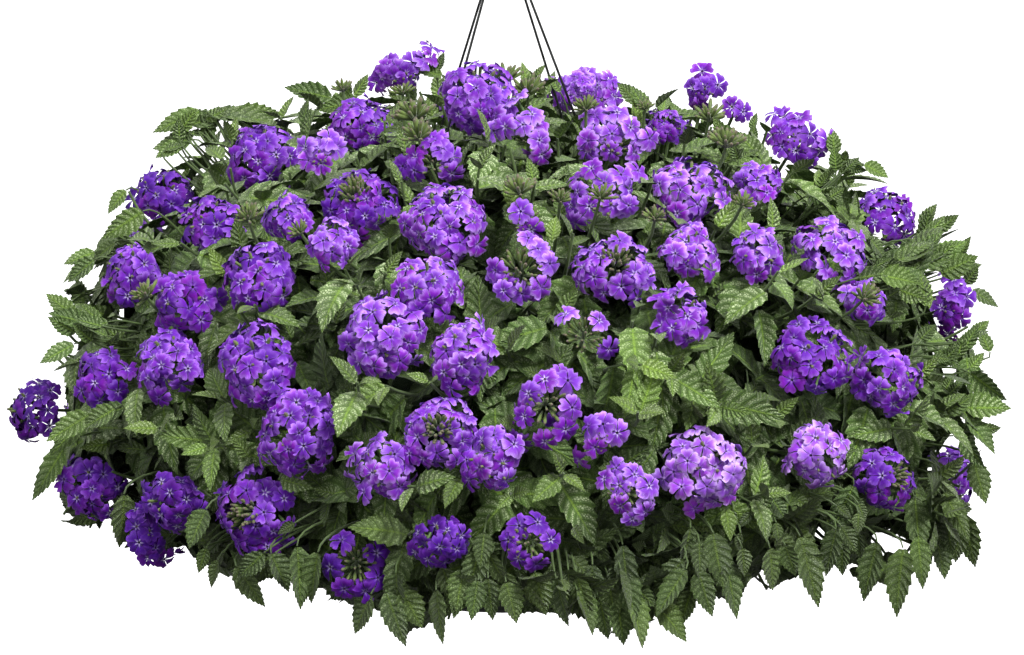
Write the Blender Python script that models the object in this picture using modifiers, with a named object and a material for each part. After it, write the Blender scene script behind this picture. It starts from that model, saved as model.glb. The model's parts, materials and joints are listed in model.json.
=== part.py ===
"""A verbena in a hanging basket: a round pot on four stiff wires and a hook, soil, and four
bushy plants that hide the pot under toothed leaves and domed heads of violet flowers.

Metres, +Z up. The origin is the inside top of the hook, where the rod that carries it lies.
The front is -Y."""

import math
import random

import bmesh
import bpy
from mathutils import Matrix, Vector
from mathutils.bvhtree import BVHTree

NAME = "verbena_hanging_basket"
SEED = 27
CLEAR = 0.0003

# The mound of leaves and flowers, as half sizes about its widest level
MOUND_WIDE = 0.388
MOUND_DEEP = 0.378
MOUND_MIDDLE = -0.441
MOUND_RISE = 0.264
MOUND_DROP = 0.166
UPPER_ROUNDNESS = 2.2
LOWER_ROUNDNESS = 2.6

# The pot, moulded in plastic
POT_RIM_TOP = -0.415
POT_HEIGHT = 0.163
POT_WALL = 0.0022
POT_RIM_RADIUS = 0.150
POT_NECK_RADIUS = 0.137
POT_FOOT_RADIUS = 0.104
POT_FLANGE = 0.003
POT_SIDES = 24
DRAIN_RADIUS = 0.005
DRAIN_RING = 0.060
DRAIN_COUNT = 4
SOIL_BELOW_RIM = 0.020
SOIL_HOLE_RADIUS = 0.0085
SOIL_HOLE_DEPTH = 0.022

# The hanger: a hook, a sleeve that gathers the wires, and four wires
WIRE_RADIUS = 0.001
WIRE_TURNS = (-20.0, 44.0, 136.0, 227.0)
WIRE_NAMES = ("right_front", "right_back", "left_back", "left_front")
RIM_HOLE_RADIUS = 0.0024
RIM_HOLE_RING = 0.1445
WIRE_BEND = 0.0024
HOOK_ROD = 0.0016
HOOK_INSIDE = 0.016
HOOK_ARC = (-50.0, 205.0)
HOOK_STEPS = 12
SLEEVE_TOP = -0.050
SLEEVE_HEIGHT = 0.020
SLEEVE_RADIUS = 0.0075
SLEEVE_HOLE_RING = 0.0042
SLEEVE_HOLE_DEPTH = 0.009

# The dense leafy inside of the bush and of what trails over the rim, as radius and height:
# down its outside, where rows of leaves lap like tiles, then back along its bare inside
BUSH_OUTSIDE = (
    (0.010, -0.264),
    (0.066, -0.264),
    (0.122, -0.271),
    (0.174, -0.288),
    (0.220, -0.315),
    (0.258, -0.351),
    (0.284, -0.394),
    (0.298, -0.4448),
)
BUSH_INSIDE = ((0.167, -0.4448), (0.164, -0.404), (0.010, -0.404))
TRAIL_OUTSIDE = (
    (0.297, -0.4451),
    (0.292, -0.490),
    (0.266, -0.530),
    (0.218, -0.560),
    (0.155, -0.573),
)
TRAIL_INSIDE = ((0.130, -0.556), (0.167, -0.4451))
INSIDE_STATIONS = 4
MOST_REDRAWS = 12
LAP_LEAF_WIDTH = 0.052
LAP_LEAF_REACH = (1.30, 1.50)
LAP_LEAF_LIFT = (0.017, 0.027)
# Half of such a leaf's toothed edge and its rib, as parts of its reach, width and lift
LAP_TEETH = ((0.42, 0.42, 0.55), (0.60, 0.26, 0.70))
LAP_RIB = (0.45, 0.0, 0.36)
WIRE_SLOT = 0.0034
QUARTERS = ("right", "back", "left", "front")
CROWN_RING = 0.072
CROWN_RADIUS = 0.0062

# The front as it is seen: where a head shows in a picture 1024 wide, and how the view lies
PICTURE_MIDDLE = (512.0, 327.5)
PICTURE_PITCH = 0.00078
VIEW_DISTANCE = 4.0
VIEW_TILT = math.radians(12.0)
VIEW_AIM = Vector((0.007, 0.0, -0.375))

# Heads on the front: across, down and width in the picture, and how pale, from 0 to 1
SEEN_HEADS = (
    (404, 72, 62, 0.25), (478, 100, 84, 0.60), (528, 135, 48, 0.75), (357, 118, 74, 0.45),
    (318, 152, 54, 0.70), (257, 152, 78, 0.30), (356, 196, 78, 0.20), (433, 160, 66, 0.25),
    (287, 214, 56, 0.75), (330, 239, 52, 0.70), (158, 188, 76, 0.10), (206, 216, 68, 0.30),
    (126, 266, 70, 0.40), (180, 298, 68, 0.15), (255, 271, 76, 0.45), (164, 361, 74, 0.60),
    (252, 361, 88, 0.45), (38, 409, 68, 0.10), (97, 378, 62, 0.10), (295, 430, 86, 0.65),
    (380, 333, 84, 0.70), (86, 489, 70, 0.15), (167, 502, 66, 0.15), (142, 534, 52, 0.05),
    (249, 513, 84, 0.20), (354, 565, 72, 0.15), (380, 468, 66, 0.70), (438, 430, 82, 0.50),
    (491, 460, 66, 0.50), (440, 541, 56, 0.10), (463, 351, 76, 0.50), (447, 216, 86, 0.65),
    (427, 282, 72, 0.50), (526, 219, 52, 0.50), (522, 268, 80, 0.90), (616, 264, 78, 0.50),
    (584, 334, 68, 0.60), (612, 140, 76, 0.75), (603, 197, 72, 0.50), (588, 90, 70, 0.80),
    (692, 183, 78, 0.75), (705, 88, 50, 0.40), (736, 109, 34, 0.50), (796, 140, 66, 0.50),
    (760, 178, 52, 0.50), (668, 122, 44, 0.35), (892, 210, 70, 0.30), (836, 245, 78, 0.70),
    (760, 248, 62, 0.65), (692, 246, 62, 0.85), (684, 312, 62, 0.45), (822, 350, 84, 0.35),
    (868, 298, 56, 0.35), (893, 378, 72, 0.75), (955, 305, 62, 0.30), (822, 455, 70, 0.70),
    (892, 478, 68, 0.20), (709, 466, 86, 0.75), (546, 400, 78, 0.35), (603, 434, 54, 0.40),
    (628, 492, 68, 0.75), (529, 541, 70, 0.40),
)
# Heads on the rest of the mound, by rule
UNSEEN_SPIRAL = 120
UNSEEN_SPACING = 0.077
UNSEEN_LOWEST = -0.505
UNSEEN_RADIUS = (0.027, 0.033)
LARGEST_HEAD = 0.0325
SMALLEST_HEAD = 0.0160
BLOOM_NODES = 43
MOST_HEADS_A_NODE = 3
WIDEST_NODE = 0.120

# Stems and leaves
STEM_RADIUS = 0.0020
STALK_RADIUS = 0.0014
FORK_RADIUS = 0.0031
STALK_CLEAR = 0.0045
# A head's make, as parts of its radius: the net its florets stand on, how far down that net's
# two rings lie, and where the stalk's neck and elbow lie below the middle
NET_RADIUS = 0.83
NET_RINGS = (37.4, 87.0)
NET_SQUASH = 0.92
HEART_RISE = 1.10
PETAL_REACH = (0.96, 1.04)
NECK_DROP = 0.58
ELBOW_DROP = 0.24
ELBOW_OVER = math.radians(54.0)
SHOOT_SPIRAL = 46
SHOOT_DEPTHS = (0.034, 0.052, 0.043)
LEAF_LENGTH = (0.066, 0.086)
LEAF_BASE = 0.0026
LEAF_PAIRS = 2
LEAF_WIDTH = 0.52
LEAF_THICKNESS = 0.0018
# Half of a leaf's toothed outline, as parts of its length and of its half width
LEAF_TEETH = ((0.26, 0.94), (0.42, 0.74), (0.58, 0.86), (0.68, 0.54))

PLASTIC = ((0.020, 0.022, 0.020), 0.45, 0.0)
STEEL = ((0.045, 0.048, 0.045), 0.40, 0.8)
SLEEVE_STEEL = ((0.080, 0.084, 0.080), 0.35, 0.9)
SOIL = ((0.055, 0.035, 0.022), 0.95, 0.0)
LEAF = ((0.095, 0.200, 0.045), 0.55, 0.0)
LEAF_BELOW = ((0.050, 0.110, 0.022), 0.60, 0.0)
DEEP_PETAL = (0.100, 0.012, 0.330)
PALE_PETAL = (0.400, 0.180, 0.760)
PETAL_ROUGHNESS = 0.6


def clear_scene():
    for thing in list(bpy.data.objects):
        bpy.data.objects.remove(thing, do_unlink=True)


def collection(name):
    made = bpy.data.collections.new(name)
    bpy.context.scene.collection.children.link(made)
    return made


def material(name, colour, roughness, metallic=0.0):
    made = bpy.data.materials.new(name)
    made.use_nodes = True
    shader = made.node_tree.nodes["Principled BSDF"]
    shader.inputs["Base Color"].default_value = (*colour, 1.0)
    shader.inputs["Roughness"].default_value = roughness
    shader.inputs["Metallic"].default_value = metallic
    made.diffuse_color = (*colour, 1.0)
    return made


def mesh_object(name, points, faces, into, finish=None):
    mesh = bpy.data.meshes.new(name)
    mesh.from_pydata([tuple(p) for p in points], [], faces)
    mesh.update()
    made = bpy.data.objects.new(name, mesh)
    into.objects.link(made)
    if finish:
        mesh.materials.append(finish)
    return made


def cylinder(name, radius, low, high, at, sides, into):
    """A plain upright cylinder, for cutting a hole."""
    shape = bmesh.new()
    middle = Matrix.Translation((at[0], at[1], (low + high) / 2))
    bmesh.ops.create_cone(
        shape, cap_ends=True, segments=sides, radius1=radius, radius2=radius,
        depth=high - low, matrix=middle,
    )
    mesh = bpy.data.meshes.new(name)
    shape.to_mesh(mesh)
    shape.free()
    made = bpy.data.objects.new(name, mesh)
    made.hide_render = True
    made.display_type = "WIRE"
    into.objects.link(made)
    return made


def cut(piece, cutters):
    for cutter in cutters:
        hole = piece.modifiers.new(cutter.name, "BOOLEAN")
        hole.operation = "DIFFERENCE"
        hole.solver = "EXACT"
        hole.object = cutter


def turned(name, profile, sides, into, finish):
    """A profile of radius and height turned about Z."""
    mesh = bpy.data.meshes.new(name)
    points = [(radius, 0.0, height) for radius, height in profile]
    mesh.from_pydata(points, [(i, i + 1) for i in range(len(points) - 1)], [])
    made = bpy.data.objects.new(name, mesh)
    into.objects.link(made)
    mesh.materials.append(finish)
    screw = made.modifiers.new("turn", "SCREW")
    screw.steps = sides
    screw.render_steps = sides
    screw.use_merge_vertices = True
    screw.merge_threshold = 0.00001
    screw.use_smooth_shade = True
    return made


def rod(name, route, radius, into, finish, resolution=2):
    """A round rod along a route of points, as a mesh with closed ends."""
    line = bpy.data.curves.new(name, "CURVE")
    line.dimensions = "3D"
    line.bevel_depth = radius
    line.bevel_resolution = resolution
    line.use_fill_caps = True
    spline = line.splines.new("POLY")
    spline.points.add(len(route) - 1)
    for place, point in zip(spline.points, route):
        place.co = (*point, 1.0)
    guide = bpy.data.objects.new(name + "_route", line)
    into.objects.link(guide)
    graph = bpy.context.evaluated_depsgraph_get()
    mesh = bpy.data.meshes.new_from_object(guide.evaluated_get(graph))
    bpy.data.objects.remove(guide, do_unlink=True)
    shape = bmesh.new()
    shape.from_mesh(mesh)
    bmesh.ops.remove_doubles(shape, verts=shape.verts, dist=0.00002)
    bmesh.ops.recalc_face_normals(shape, faces=shape.faces)
    shape.to_mesh(mesh)
    shape.free()
    mesh.name = name
    mesh.materials.clear()
    mesh.materials.append(finish)
    made = bpy.data.objects.new(name, mesh)
    into.objects.link(made)
    return made


def polar(radius, turn, height=0.0):
    return Vector((radius * math.cos(turn), radius * math.sin(turn), height))


def make_pot(into, cutters):
    """Wall, flat floor and an outward flange with a hole for each wire."""
    top = POT_RIM_TOP
    foot = top - POT_HEIGHT
    inside = POT_NECK_RADIUS - POT_WALL
    profile = (
        (0.0, foot + POT_WALL),
        (POT_FOOT_RADIUS - 2 * POT_WALL, foot + POT_WALL),
        (inside, top - 0.004),
        (inside + 0.001, top),
        (POT_RIM_RADIUS, top),
        (POT_RIM_RADIUS, top - POT_FLANGE),
        (POT_NECK_RADIUS + 0.001, top - POT_FLANGE),
        (POT_NECK_RADIUS, top - POT_FLANGE - 0.002),
        (POT_FOOT_RADIUS, foot + 0.003),
        (POT_FOOT_RADIUS - 0.003, foot),
        (0.0, foot),
    )
    pot = turned("pot", profile[::-1], POT_SIDES, into, material("pot_plastic", *PLASTIC))
    holes = []
    for number, turn in enumerate(WIRE_TURNS):
        at = polar(RIM_HOLE_RING, math.radians(turn))
        holes.append(
            cylinder(f"rim_hole_{number}", RIM_HOLE_RADIUS, top - 0.006, top + 0.003, at, 6, cutters)
        )
    for number in range(DRAIN_COUNT):
        at = polar(DRAIN_RING, 2 * math.pi * number / DRAIN_COUNT)
        holes.append(
            cylinder(f"drain_{number}", DRAIN_RADIUS, foot - 0.002, foot + 0.005, at, 6, cutters)
        )
    cut(pot, holes)
    return pot


def quarter_turns():
    """The pair of wires on either side of each quarter of the bush, in radians."""
    pairs = []
    for number, turn in enumerate(WIRE_TURNS):
        after = WIRE_TURNS[(number + 1) % 4] + (360.0 if number == 3 else 0.0)
        pairs.append((math.radians(turn), math.radians(after)))
    return pairs


def crown_places():
    return [polar(CROWN_RING, (low + high) / 2) for low, high in quarter_turns()]


def make_soil(into, cutters):
    """The potful of soil, with a plain hole for the crown of each plant."""
    top = POT_RIM_TOP - SOIL_BELOW_RIM
    foot = POT_RIM_TOP - POT_HEIGHT + POT_WALL + CLEAR
    floor_radius = POT_FOOT_RADIUS - 2 * POT_WALL
    inside = POT_NECK_RADIUS - POT_WALL
    rise = (inside - floor_radius) / (POT_HEIGHT - POT_WALL - 0.004)
    gap = 3 * CLEAR
    profile = (
        (0.0, foot),
        (floor_radius - gap, foot),
        (floor_radius + rise * (top - foot) - gap, top - 0.003),
        (0.100, top),
        (0.0, top),
    )
    soil = turned("soil", profile, POT_SIDES, into, material("potting_soil", *SOIL))
    holes = []
    for number, at in enumerate(crown_places()):
        low = top - SOIL_HOLE_DEPTH
        holes.append(
            cylinder(f"crown_hole_{number}", SOIL_HOLE_RADIUS, low, top + 0.01, at, 8, cutters)
        )
    cut(soil, holes)
    return soil


def hook_route():
    """Up from the sleeve, out to the side and over the rod that carries it."""
    middle = Vector((0.0, 0.0, -HOOK_INSIDE))
    reach = HOOK_INSIDE + HOOK_ROD
    route = [Vector((0.0, 0.0, SLEEVE_TOP - 0.0075)), Vector((0.0, 0.0, SLEEVE_TOP + 0.008))]
    start, end = HOOK_ARC
    for step in range(HOOK_STEPS + 1):
        turn = math.radians(start + (end - start) * step / HOOK_STEPS)
        route.append(middle + Vector((reach * math.cos(turn), 0.0, reach * math.sin(turn))))
    return route


def make_hook(into):
    return rod("hanger_hook", hook_route(), HOOK_ROD, into, material("hook_steel", *STEEL), 1)


def make_sleeve(into, cutters):
    """The crimped sleeve, with one blind hole above for the hook and four below."""
    foot = SLEEVE_TOP - SLEEVE_HEIGHT
    edge = 0.0012
    profile = (
        (0.0, foot),
        (SLEEVE_RADIUS - edge, foot),
        (SLEEVE_RADIUS, foot + edge),
        (SLEEVE_RADIUS, SLEEVE_TOP - edge),
        (SLEEVE_RADIUS - edge, SLEEVE_TOP),
        (0.0, SLEEVE_TOP),
    )
    sleeve = turned("hanger_sleeve", profile, 10, into, material("sleeve", *SLEEVE_STEEL))
    bore = HOOK_ROD + 2 * CLEAR
    holes = [
        cylinder(
            "hook_hole", bore, SLEEVE_TOP - 0.0078, SLEEVE_TOP + 0.004, (0.0, 0.0), 8, cutters
        )
    ]
    for number, turn in enumerate(WIRE_TURNS):
        at = polar(SLEEVE_HOLE_RING, math.radians(turn))
        high = foot + SLEEVE_HOLE_DEPTH
        bore = WIRE_RADIUS + 2.0 * CLEAR
        holes.append(cylinder(f"wire_hole_{number}", bore, foot - 0.004, high, at, 6, cutters))
    cut(sleeve, holes)
    return sleeve


def wire_route(turn):
    """Out of the sleeve, straight to the rim, down through its hole and hooked up under it."""
    along = polar(1.0, turn + math.pi / 2)
    foot = SLEEVE_TOP - SLEEVE_HEIGHT
    start = polar(SLEEVE_HOLE_RING, turn)
    end = polar(RIM_HOLE_RING, turn)
    under = POT_RIM_TOP - POT_FLANGE
    route = [
        start + Vector((0.0, 0.0, foot + SLEEVE_HOLE_DEPTH - CLEAR)),
        start + Vector((0.0, 0.0, foot - 0.0015)),
        end + Vector((0.0, 0.0, POT_RIM_TOP + 0.004)),
        end + Vector((0.0, 0.0, under - 0.004)),
    ]
    middle = route[-1] + along * WIRE_BEND
    for step in range(1, 4):
        part = math.pi * step / 3
        drop = Vector((0.0, 0.0, -WIRE_BEND * math.sin(part)))
        route.append(middle - along * WIRE_BEND * math.cos(part) + drop)
    route.append(route[-1] + Vector((0.0, 0.0, 0.004 - WIRE_RADIUS * 0.1 - CLEAR)))
    return route


def make_wires(into):
    finish = material("wire_steel", *STEEL)
    for name, turn in zip(WIRE_NAMES, WIRE_TURNS):
        rod(f"hanger_wire_{name}", wire_route(math.radians(turn)), WIRE_RADIUS, into, finish, 0)


def mound_level(point, inset=0.0):
    """1 on the mound drawn in by inset, less inside it and more outside."""
    across = math.hypot(point.x / (MOUND_WIDE - inset), point.y / (MOUND_DEEP - inset))
    if point.z > MOUND_MIDDLE:
        up = (point.z - MOUND_MIDDLE) / (MOUND_RISE - inset)
        power = UPPER_ROUNDNESS
    else:
        up = (MOUND_MIDDLE - point.z) / (MOUND_DROP - inset)
        power = LOWER_ROUNDNESS
    return (across**power + up**power) ** (1.0 / power)


def mound_normal(point):
    step = 0.001
    slope = Vector()
    for axis in range(3):
        ahead = point.copy()
        behind = point.copy()
        ahead[axis] += step
        behind[axis] -= step
        slope[axis] = mound_level(ahead) - mound_level(behind)
    return slope.normalized()


def onto_mound(direction, inset=0.0):
    """Where a line from the middle of the mound in this direction leaves it."""
    middle = Vector((0.0, 0.0, MOUND_MIDDLE))
    near, far = 0.0, 1.0
    for _ in range(30):
        half = (near + far) / 2
        if mound_level(middle + direction * half, inset) < 1.0:
            near = half
        else:
            far = half
    return middle + direction * near


def view_from():
    back = Vector((0.0, -math.cos(VIEW_TILT), math.sin(VIEW_TILT)))
    return VIEW_AIM + back * VIEW_DISTANCE


def seen_at(across, down, inset):
    """The point of the mound that shows at a place in the picture."""
    eye = view_from()
    upward = Vector((0.0, math.sin(VIEW_TILT), math.cos(VIEW_TILT)))
    target = VIEW_AIM + Vector(((across - PICTURE_MIDDLE[0]) * PICTURE_PITCH, 0.0, 0.0))
    target += upward * ((PICTURE_MIDDLE[1] - down) * PICTURE_PITCH)
    ray = (target - eye).normalized()
    best = None
    steps = 400
    reach = 2 * MOUND_DEEP
    for step in range(steps):
        point = eye + ray * (VIEW_DISTANCE - reach / 2 + reach * step / steps)
        level = mound_level(point, inset)
        if best is None or level < best[0]:
            best = (level, point)
        if level <= 1.0:
            break
    return best[1]


def spiral(count):
    """Directions spread evenly over a ball, from its top down."""
    golden = math.pi * (3.0 - math.sqrt(5.0))
    for number in range(count):
        height = 1.0 - (2.0 * number + 1.0) / count
        wide = math.sqrt(1.0 - height * height)
        yield Vector((wide * math.cos(golden * number), wide * math.sin(golden * number), height))


def wire_distance(point):
    """How far a point lies from the nearest wire."""
    routes = [wire_route(math.radians(turn)) for turn in WIRE_TURNS]
    return min(line_gap(route[1], route[2], point) for route in routes)


def lay_heads():
    """Each head as its middle, its axis, its radius and how pale it is."""
    draw = random.Random(SEED)
    eye = view_from()
    heads = []
    for across, down, width, pale in SEEN_HEADS:
        radius = min(LARGEST_HEAD, max(SMALLEST_HEAD, width * PICTURE_PITCH / 2 * 0.96))
        heads.append([seen_at(across, down, radius), radius, pale])
    for direction in spiral(UNSEEN_SPIRAL):
        radius = draw.uniform(*UNSEEN_RADIUS)
        jitter = Vector((draw.uniform(-1, 1), draw.uniform(-1, 1), draw.uniform(-1, 1))) * 0.06
        at = onto_mound((direction + jitter).normalized(), radius)
        pale = draw.uniform(0.1, 0.8)
        faces_view = mound_normal(at).dot((eye - at).normalized()) > 0.02
        crowded = any((at - other[0]).length < UNSEEN_SPACING for other in heads)
        if not (faces_view or crowded or at.z < UNSEEN_LOWEST):
            heads.append([at, radius, pale])
    for head in heads:
        room = wire_distance(head[0]) - WIRE_RADIUS - 0.0015
        head[1] = max(0.8 * SMALLEST_HEAD, min(head[1], room / 1.06))
    laid = []
    for at, radius, pale in heads:
        lean = Vector((draw.uniform(-1, 1), draw.uniform(-1, 1), draw.uniform(-1, 1))) * 0.16
        axis = (mound_normal(at) + Vector((0.0, 0.0, 0.18)) + lean).normalized()
        laid.append({"at": at, "axis": axis, "radius": radius, "pale": pale})
    return laid


def quarter_of(point):
    turn = math.atan2(point.y, point.x)
    for number, (low, high) in enumerate(quarter_turns()):
        if low <= turn < high or low <= turn + 2 * math.pi < high:
            return number
    return 0


def group_heads(heads):
    """Joins the nearest heads, within a quarter of the bush, until few enough nodes are left."""
    groups = [[number] for number in range(len(heads))]
    pairs = []
    for first in range(len(heads)):
        for second in range(first):
            apart = (heads[first]["at"] - heads[second]["at"]).length
            touching = apart - heads[first]["radius"] - heads[second]["radius"]
            same = quarter_of(heads[first]["at"]) == quarter_of(heads[second]["at"])
            if same and apart < WIDEST_NODE:
                pairs.append((touching, first, second))
    for touching, first, second in sorted(pairs):
        if len(groups) <= BLOOM_NODES and touching > 0.0:
            break
        mine = next(group for group in groups if first in group)
        other = next(group for group in groups if second in group)
        if mine is not other and len(mine) + len(other) <= MOST_HEADS_A_NODE:
            groups.remove(other)
            mine.extend(other)
    return sorted(groups, key=lambda group: group[0])


def part_strangers(heads, groups):
    """Draws in heads of different nodes until they clear each other."""
    owner = {number: index for index, group in enumerate(groups) for number in group}
    for _ in range(3):
        for first in range(len(heads)):
            for second in range(first):
                if owner[first] == owner[second]:
                    continue
                one, two = heads[first], heads[second]
                apart = (one["at"] - two["at"]).length / 1.07 - 0.0006
                excess = one["radius"] + two["radius"] - apart
                if excess > 0:
                    share = apart / (one["radius"] + two["radius"])
                    one["radius"] *= share
                    two["radius"] *= share


def upright_frame(at, axis, turn=0.0):
    """A matrix whose Z is the axis, at this place."""
    swing = Vector((0.0, 0.0, 1.0)).rotation_difference(axis).to_matrix().to_4x4()
    return Matrix.Translation(at) @ swing @ Matrix.Rotation(turn, 4, "Z")


def on_ball(down, turn):
    """A direction this many degrees down from the pole and this many round it."""
    down, turn = math.radians(down), math.radians(turn)
    wide = math.sin(down)
    return Vector((wide * math.cos(turn), wide * math.sin(turn), math.cos(down)))


def stitch(upper, lower):
    """Triangles between two rings of corners that run the same way, upper one above."""
    faces = []
    i = j = 0
    m, n = len(upper), len(lower)
    while i < m or j < n:
        if j == n or (i < m and (i + 1) / m <= (j + 1) / n):
            faces.append((upper[i % m], lower[j % n], upper[(i + 1) % m]))
            i += 1
        else:
            faces.append((upper[i % m], lower[j % n], lower[(j + 1) % n]))
            j += 1
    return faces


def stalk_route(head, foot):
    """Down from a head to the foot of its stalk, by way of an elbow where it leaves sideways."""
    neck = head["at"] - head["axis"] * NECK_DROP * head["radius"]
    down = (foot - neck).normalized()
    if down.dot(-head["axis"]) > math.cos(ELBOW_OVER):
        return [neck, foot]
    return [neck, neck - head["axis"] * (ELBOW_DROP * head["radius"]), foot]


def head_body(head, foot, foot_axis, draw):
    """A top floret of five petals and five side ones of four, on a slim stalk."""
    radius = head["radius"]
    frame = upright_frame(head["at"], head["axis"], draw.uniform(0.0, 1.2))
    inner = NET_RADIUS * radius
    squash = Vector((1.0, 1.0, NET_SQUASH))
    points = []
    faces = []

    def corner(place):
        points.append(frame @ Vector(a * b for a, b in zip(place, squash)))
        return len(points) - 1

    place_of = [on_ball(down, 72 * i) * inner for down in NET_RINGS for i in range(5)]
    number_of = [corner(place) for place in place_of]
    florets = [(0, 1, 2, 3, 4)]
    florets += [(5 + (i + 1) % 5, (i + 1) % 5, i, 5 + i) for i in range(5)]
    for ring in florets:
        centre = sum((place_of[i] for i in ring), Vector()) / len(ring)
        heart = corner(centre * HEART_RISE)
        outward = centre.normalized()
        for i, here in enumerate(ring):
            after = ring[(i + 1) % len(ring)]
            edge = ((place_of[here] + place_of[after]) / 2).normalized()
            reach = radius * draw.uniform(*PETAL_REACH)
            tip = corner((edge + (outward - edge) * 0.12).normalized() * reach)
            a, b = number_of[here], number_of[after]
            faces += [(heart, a, tip), (heart, tip, b), (tip, a, b)]
    rim = number_of[5:]
    route = stalk_route(head, foot)
    ups = [head["axis"]]
    for before, place, after in zip(route, route[1:], route[2:]):
        ups.append(((before - place).normalized() + (place - after).normalized()).normalized())
    ups.append(foot_axis or (route[-2] - foot).normalized())
    above = None
    for place, up in zip(route, ups):
        ring_frame = upright_frame(place, up)
        ring = [ring_frame @ polar(STALK_RADIUS, 2 * math.pi * k / 3) for k in range(3)]
        if above is not None:
            twists = [
                sum((ring[(k + twist) % 3] - points[above[k]]).length for k in range(3))
                for twist in range(3)
            ]
            shift = twists.index(min(twists))
            ring = ring[shift:] + ring[:shift]
        below = list(range(len(points), len(points) + 3))
        points.extend(ring)
        faces += stitch(rim if above is None else above, below)
        above = below
    faces.append((above[2], above[1], above[0]))
    return points, faces


def prism(start, end, radius, sides=3):
    """A slim straight stem."""
    axis = (end - start).normalized()
    points = []
    for place in (start, end):
        frame = upright_frame(place, axis)
        points += [frame @ polar(radius, 2 * math.pi * k / sides) for k in range(sides)]
    faces = [tuple(reversed(range(sides))), tuple(range(sides, 2 * sides))]
    for k in range(sides):
        after = (k + 1) % sides
        faces.append((k, after, sides + after, sides + k))
    return points, split_faces(faces)


def split_faces(faces):
    """The same faces as triangles, each fanned from its first corner."""
    return [(f[0], f[k], f[k + 1]) for f in faces for k in range(1, len(f) - 1)]


def tree_of(body):
    return BVHTree.FromPolygons(body[0], body[1])


def crosses_itself(body):
    """Whether two faces that share no corner cross."""
    tree = tree_of(body)
    faces = body[1]
    return any(not set(faces[a]) & set(faces[b]) for a, b in tree.overlap(tree) if a < b)


def on_quarter(quarter, radius, height, part):
    """A point of a quarter at this part of the way from one wire to the next."""
    low, high = quarter
    margin = math.asin(min(1.0, WIRE_SLOT / radius))
    return polar(radius, low + margin + (high - low - 2 * margin) * part, height)


def stitch_rows(upper, lower):
    """Triangles between two open rows of (part, corner), each in order of its part."""
    faces = []
    i = j = 0
    while i < len(upper) - 1 or j < len(lower) - 1:
        along = j == len(lower) - 1
        if not along and i < len(upper) - 1:
            along = upper[i + 1][0] <= lower[j + 1][0]
        if along:
            faces.append((upper[i][1], lower[j][1], upper[i + 1][1]))
            i += 1
        else:
            faces.append((upper[i][1], lower[j][1], lower[j + 1][1]))
            j += 1
    return faces


def leafy_body(quarter, outside, inside, draw):
    """A quarter of the bush's leafy inside: rows of toothed leaves that lap like tiles."""
    points = []
    faces = []

    def corner(point):
        points.append(point)
        return len(points) - 1

    def row(place, count):
        parts = [k / count for k in range(count + 1)]
        return [(part, corner(on_quarter(quarter, *place, part))) for part in parts]

    spans = [radius * (quarter[1] - quarter[0]) for radius, _ in outside]
    counts = [max(2, round(span / LAP_LEAF_WIDTH)) for span in spans]
    rings = [row(place, count) for place, count in zip(outside, counts)]
    for number in range(len(outside) - 1):
        here, below = Vector(outside[number]), Vector(outside[number + 1])
        along = below - here
        out = Vector((-along.y, along.x)).normalized()
        edge = []
        for (part, left), (after, right) in zip(rings[number], rings[number][1:]):
            lift = draw.uniform(*LAP_LEAF_LIFT)
            reach = draw.uniform(*LAP_LEAF_REACH)
            skew = draw.uniform(-0.12, 0.12)

            def blade(down, across, high):
                place = here + along * (reach * down) + out * (lift * high)
                spot = part + (after - part) * (0.5 + across + skew * down)
                return spot, corner(on_quarter(quarter, place.x, place.y, spot))

            teeth = [blade(down, -across, high) for down, across, high in LAP_TEETH]
            teeth.append(blade(1.0, 0.0, 1.0))
            teeth += [blade(down, across, high) for down, across, high in reversed(LAP_TEETH)]
            rib = blade(*LAP_RIB)[1]
            loop = [left, *(tooth[1] for tooth in teeth), right]
            for k, start in enumerate(loop):
                faces.append((rib, start, loop[(k + 1) % len(loop)]))
            edge += [(part, left), *teeth]
        edge.append(rings[number][-1])
        faces += stitch_rows(edge, rings[number + 1])
    rings += [row(place, INSIDE_STATIONS) for place in inside]
    for number in range(len(outside) - 1, len(rings)):
        faces += stitch_rows(rings[number], rings[(number + 1) % len(rings)])
    inner = len(outside)
    for end, turned_round in ((0, True), (-1, False)):
        loop = [ring[end][1] for ring in rings]
        loop = loop[inner + len(inside) // 2 :] + loop[: inner + len(inside) // 2]
        if turned_round:
            loop = [loop[0], *reversed(loop[1:])]
        faces += split_faces([loop])
    return points, faces


class Leaf:
    """One toothed blade: where it starts, which way it lies, and how it folds and droops."""

    def __init__(self, base, along, upward, length, draw):
        self.base = base
        self.along = along
        self.side = upward.cross(along).normalized()
        self.upward = along.cross(self.side).normalized()
        self.length = length
        self.fold = draw.uniform(0.15, 0.35)
        self.droop = draw.uniform(0.10, 0.30)

    def place(self, part, out, lift=0.0, swell=0.0):
        half = self.length * LEAF_WIDTH / 2 + swell
        high = abs(out) * half * self.fold - self.droop * self.length * part * part + lift
        flat = self.along * (self.length * part) + self.side * (out * half)
        return self.base + flat + self.upward * high

    def corners(self, swell=0.0):
        """The edge from the left of the base round the tip, then the rib above and below."""
        thick = LEAF_THICKNESS / 2 + swell
        left = [self.place(part, -out, 0.0, swell) for part, out in LEAF_TEETH]
        right = [self.place(part, out, 0.0, swell) for part, out in reversed(LEAF_TEETH)]
        rib = [self.place(0.45, 0.0, thick), self.place(0.45, 0.0, -thick)]
        return left + [self.place(1.0 + swell / self.length, 0.0)] + right + rib

    def swollen(self, swell):
        """A little larger than the blade and clear of its stem, for finding what is in the way."""
        points = [self.place(0.02, 0.0), *self.corners(swell)]
        count = len(points) - 2
        faces = []
        for k in range(count):
            after = (k + 1) % count
            faces += [(count, k, after), (count + 1, after, k)]
        return points, faces


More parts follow.
